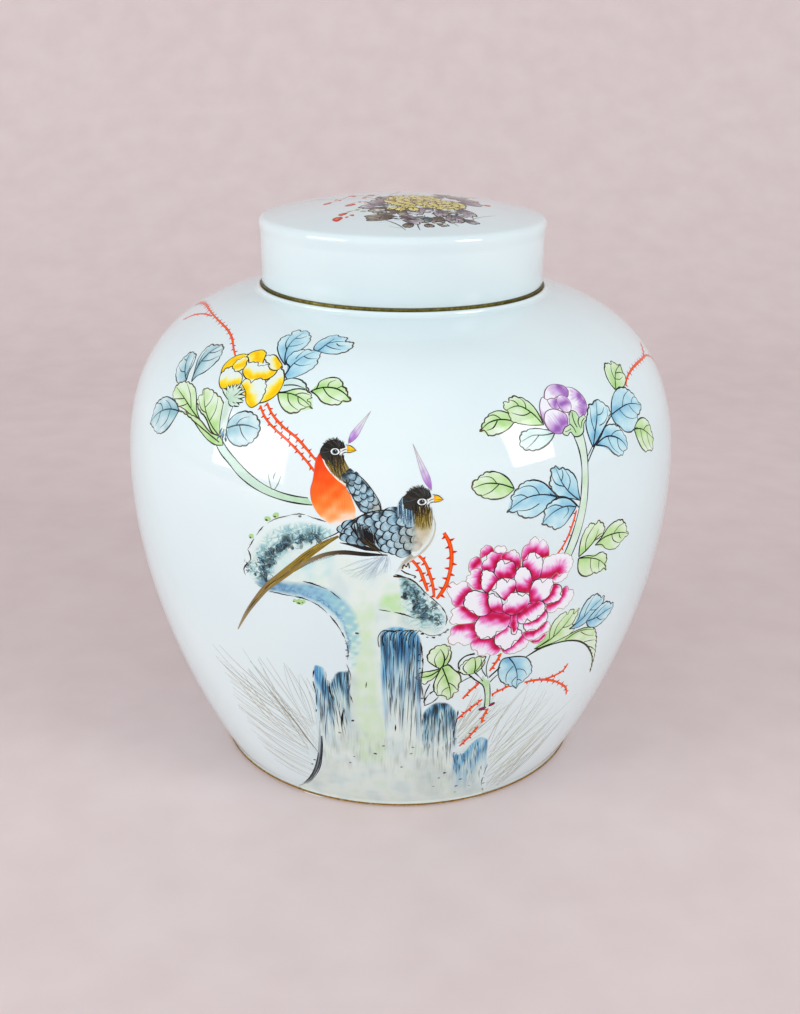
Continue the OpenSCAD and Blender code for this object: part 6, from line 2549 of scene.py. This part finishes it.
def paint_back():
    to = turned_to(-14, 0.9)
    art = leaves("back_leaves", BACK_AT, mirrored(RIGHT_LEAVES[3:], to), first=4)
    stalk = [(6, 2), (6.4, -9), (7.4, -20), (10.4, -31), (16, -42)]
    art.stroke(to(stalk), [1.6, 2.4, 3.0, 3.2, 2.2], srgb(212, 232, 212), layer=1)
    for side in (-1, 1):
        edge = [(x + side * w, y) for (x, y), w in zip(stalk, (0.8, 1.2, 1.5, 1.6, 1.1))]
        art.stroke(to(edge), wavering(STALK_LINE, 8, side + 3), LEAF_LINES["green"], layer=2)
    for line, width in RIGHT_BRANCHES[:3]:
        turned_over = to([(-x, y) for x, y in line])
        art.stroke(turned_over, [width * 0.8, width * 1.2, width * 0.7], LEAF_LINES["blue"], layer=22)
    art.lay_down()
    stems = Enamel("back_coral_stems", BACK_AT)
    coral_stem(stems, to([(15, -41), (22, -34), (30, -31), (40, -31)]), 0.8, layer=3, seed=51)
    coral_stem(stems, to([(5.6, 4), (2, 12), (-6, 18), (-16, 20)]), 0.75, layer=3, seed=52)
    stems.lay_down()


paint_back()


# ---------------------------------------------------------------- floor, light and camera


def stage_floor():
    """A pale sheet that lies flat under the jar and rises in a wide curve behind it, in metres."""
    bend_at = 0.5
    bend_radius = 0.6
    near_end = -3.0
    top_end = 3.0
    half_width = 4.0
    mat, tree, shader = new_material("pale_backdrop", Roughness=0.9)
    colour = ramp(tree, noise(tree, 40.0, 2.0), [(0.3, srgb(220, 204, 203)), (0.7, srgb(225, 210, 209))])
    tree.links.new(colour, shader.inputs["Base Color"])
    sweep = [(y, 0.0) for y in (near_end, -1.0, 0.0, bend_at)]
    for a in np.linspace(0.1, math.pi / 2, 14):
        sweep.append((bend_at + bend_radius * math.sin(a), bend_radius - bend_radius * math.cos(a)))
    sweep.append((bend_at + bend_radius, top_end))
    verts = [(x, y, z) for y, z in sweep for x in (-half_width, half_width)]
    faces = [(2 * i, 2 * i + 1, 2 * i + 3, 2 * i + 2) for i in range(len(sweep) - 1)]
    data = bpy.data.meshes.new("backdrop")
    data.from_pydata(verts, [], faces)
    for face in data.polygons:
        face.use_smooth = True
    obj = add_object("backdrop", data)
    give(obj, mat)


SKY_COLOUR = (0.93, 0.96, 1.0, 1)
SKY_STRENGTH = 0.635
LIT_HEIGHT = 0.12


def softbox(name, towards, distance, size, power):
    """An area light that faces the jar's middle. towards is its azimuth from the front and its elevation."""
    azimuth, elevation = (math.radians(a) for a in towards)
    middle = Vector((0, 0, LIT_HEIGHT))
    away = Vector((
        math.sin(azimuth) * math.cos(elevation),
        -math.cos(azimuth) * math.cos(elevation),
        math.sin(elevation),
    ))
    data = bpy.data.lights.new(name, "AREA")
    data.shape = "RECTANGLE"
    data.size, data.size_y = size
    data.energy = power
    obj = add_object(name, data)
    obj.location = middle + away * distance
    obj.rotation_euler = away.to_track_quat("Z", "Y").to_euler()


def studio_light():
    """A pale sky and four soft boxes: name, direction, distance and size in metres, and power in watts."""
    world = bpy.data.worlds.new("studio")
    world.use_nodes = True
    world.node_tree.nodes["Background"].inputs["Color"].default_value = SKY_COLOUR
    world.node_tree.nodes["Background"].inputs["Strength"].default_value = SKY_STRENGTH
    bpy.context.scene.world = world
    softbox("window_left", (-62, 14), 1.5, (0.9, 0.72), 10)
    softbox("window_right", (54, 22), 1.5, (0.5, 0.65), 8)
    softbox("ceiling", (0, 80), 1.6, (1.2, 1.2), 1)
    softbox("front_fill", (4, 2), 2.1, (3.4, 1.4), 6.5)


CAMERA_AT = (0, -0.485, 0.273)
CAMERA_TARGET = (0, 0, 0.090)
CAMERA_LEAN = 0.53
CAMERA_LENS = 47.64


def add_camera():
    """The viewpoint: about half a metre away and looking down, with a normal lens and a slight lean."""
    eye = Vector(CAMERA_AT)
    target = Vector(CAMERA_TARGET)
    lean = math.radians(CAMERA_LEAN)
    back = (eye - target).normalized()
    right = Vector((0, 0, 1)).cross(back).normalized()
    up = back.cross(right)
    x = right * math.cos(lean) + up * math.sin(lean)
    y = up * math.cos(lean) - right * math.sin(lean)
    data = bpy.data.cameras.new("camera")
    data.sensor_fit = "VERTICAL"
    data.sensor_height = 36
    data.lens = CAMERA_LENS
    data.clip_start = 0.01
    obj = add_object("camera", data)
    obj.matrix_world = Matrix.LocRotScale(eye, Matrix((x, y, back)).transposed().to_quaternion(), None)
    bpy.context.scene.camera = obj


stage_floor()
studio_light()
add_camera()
bpy.context.scene.view_settings.view_transform = "Standard"
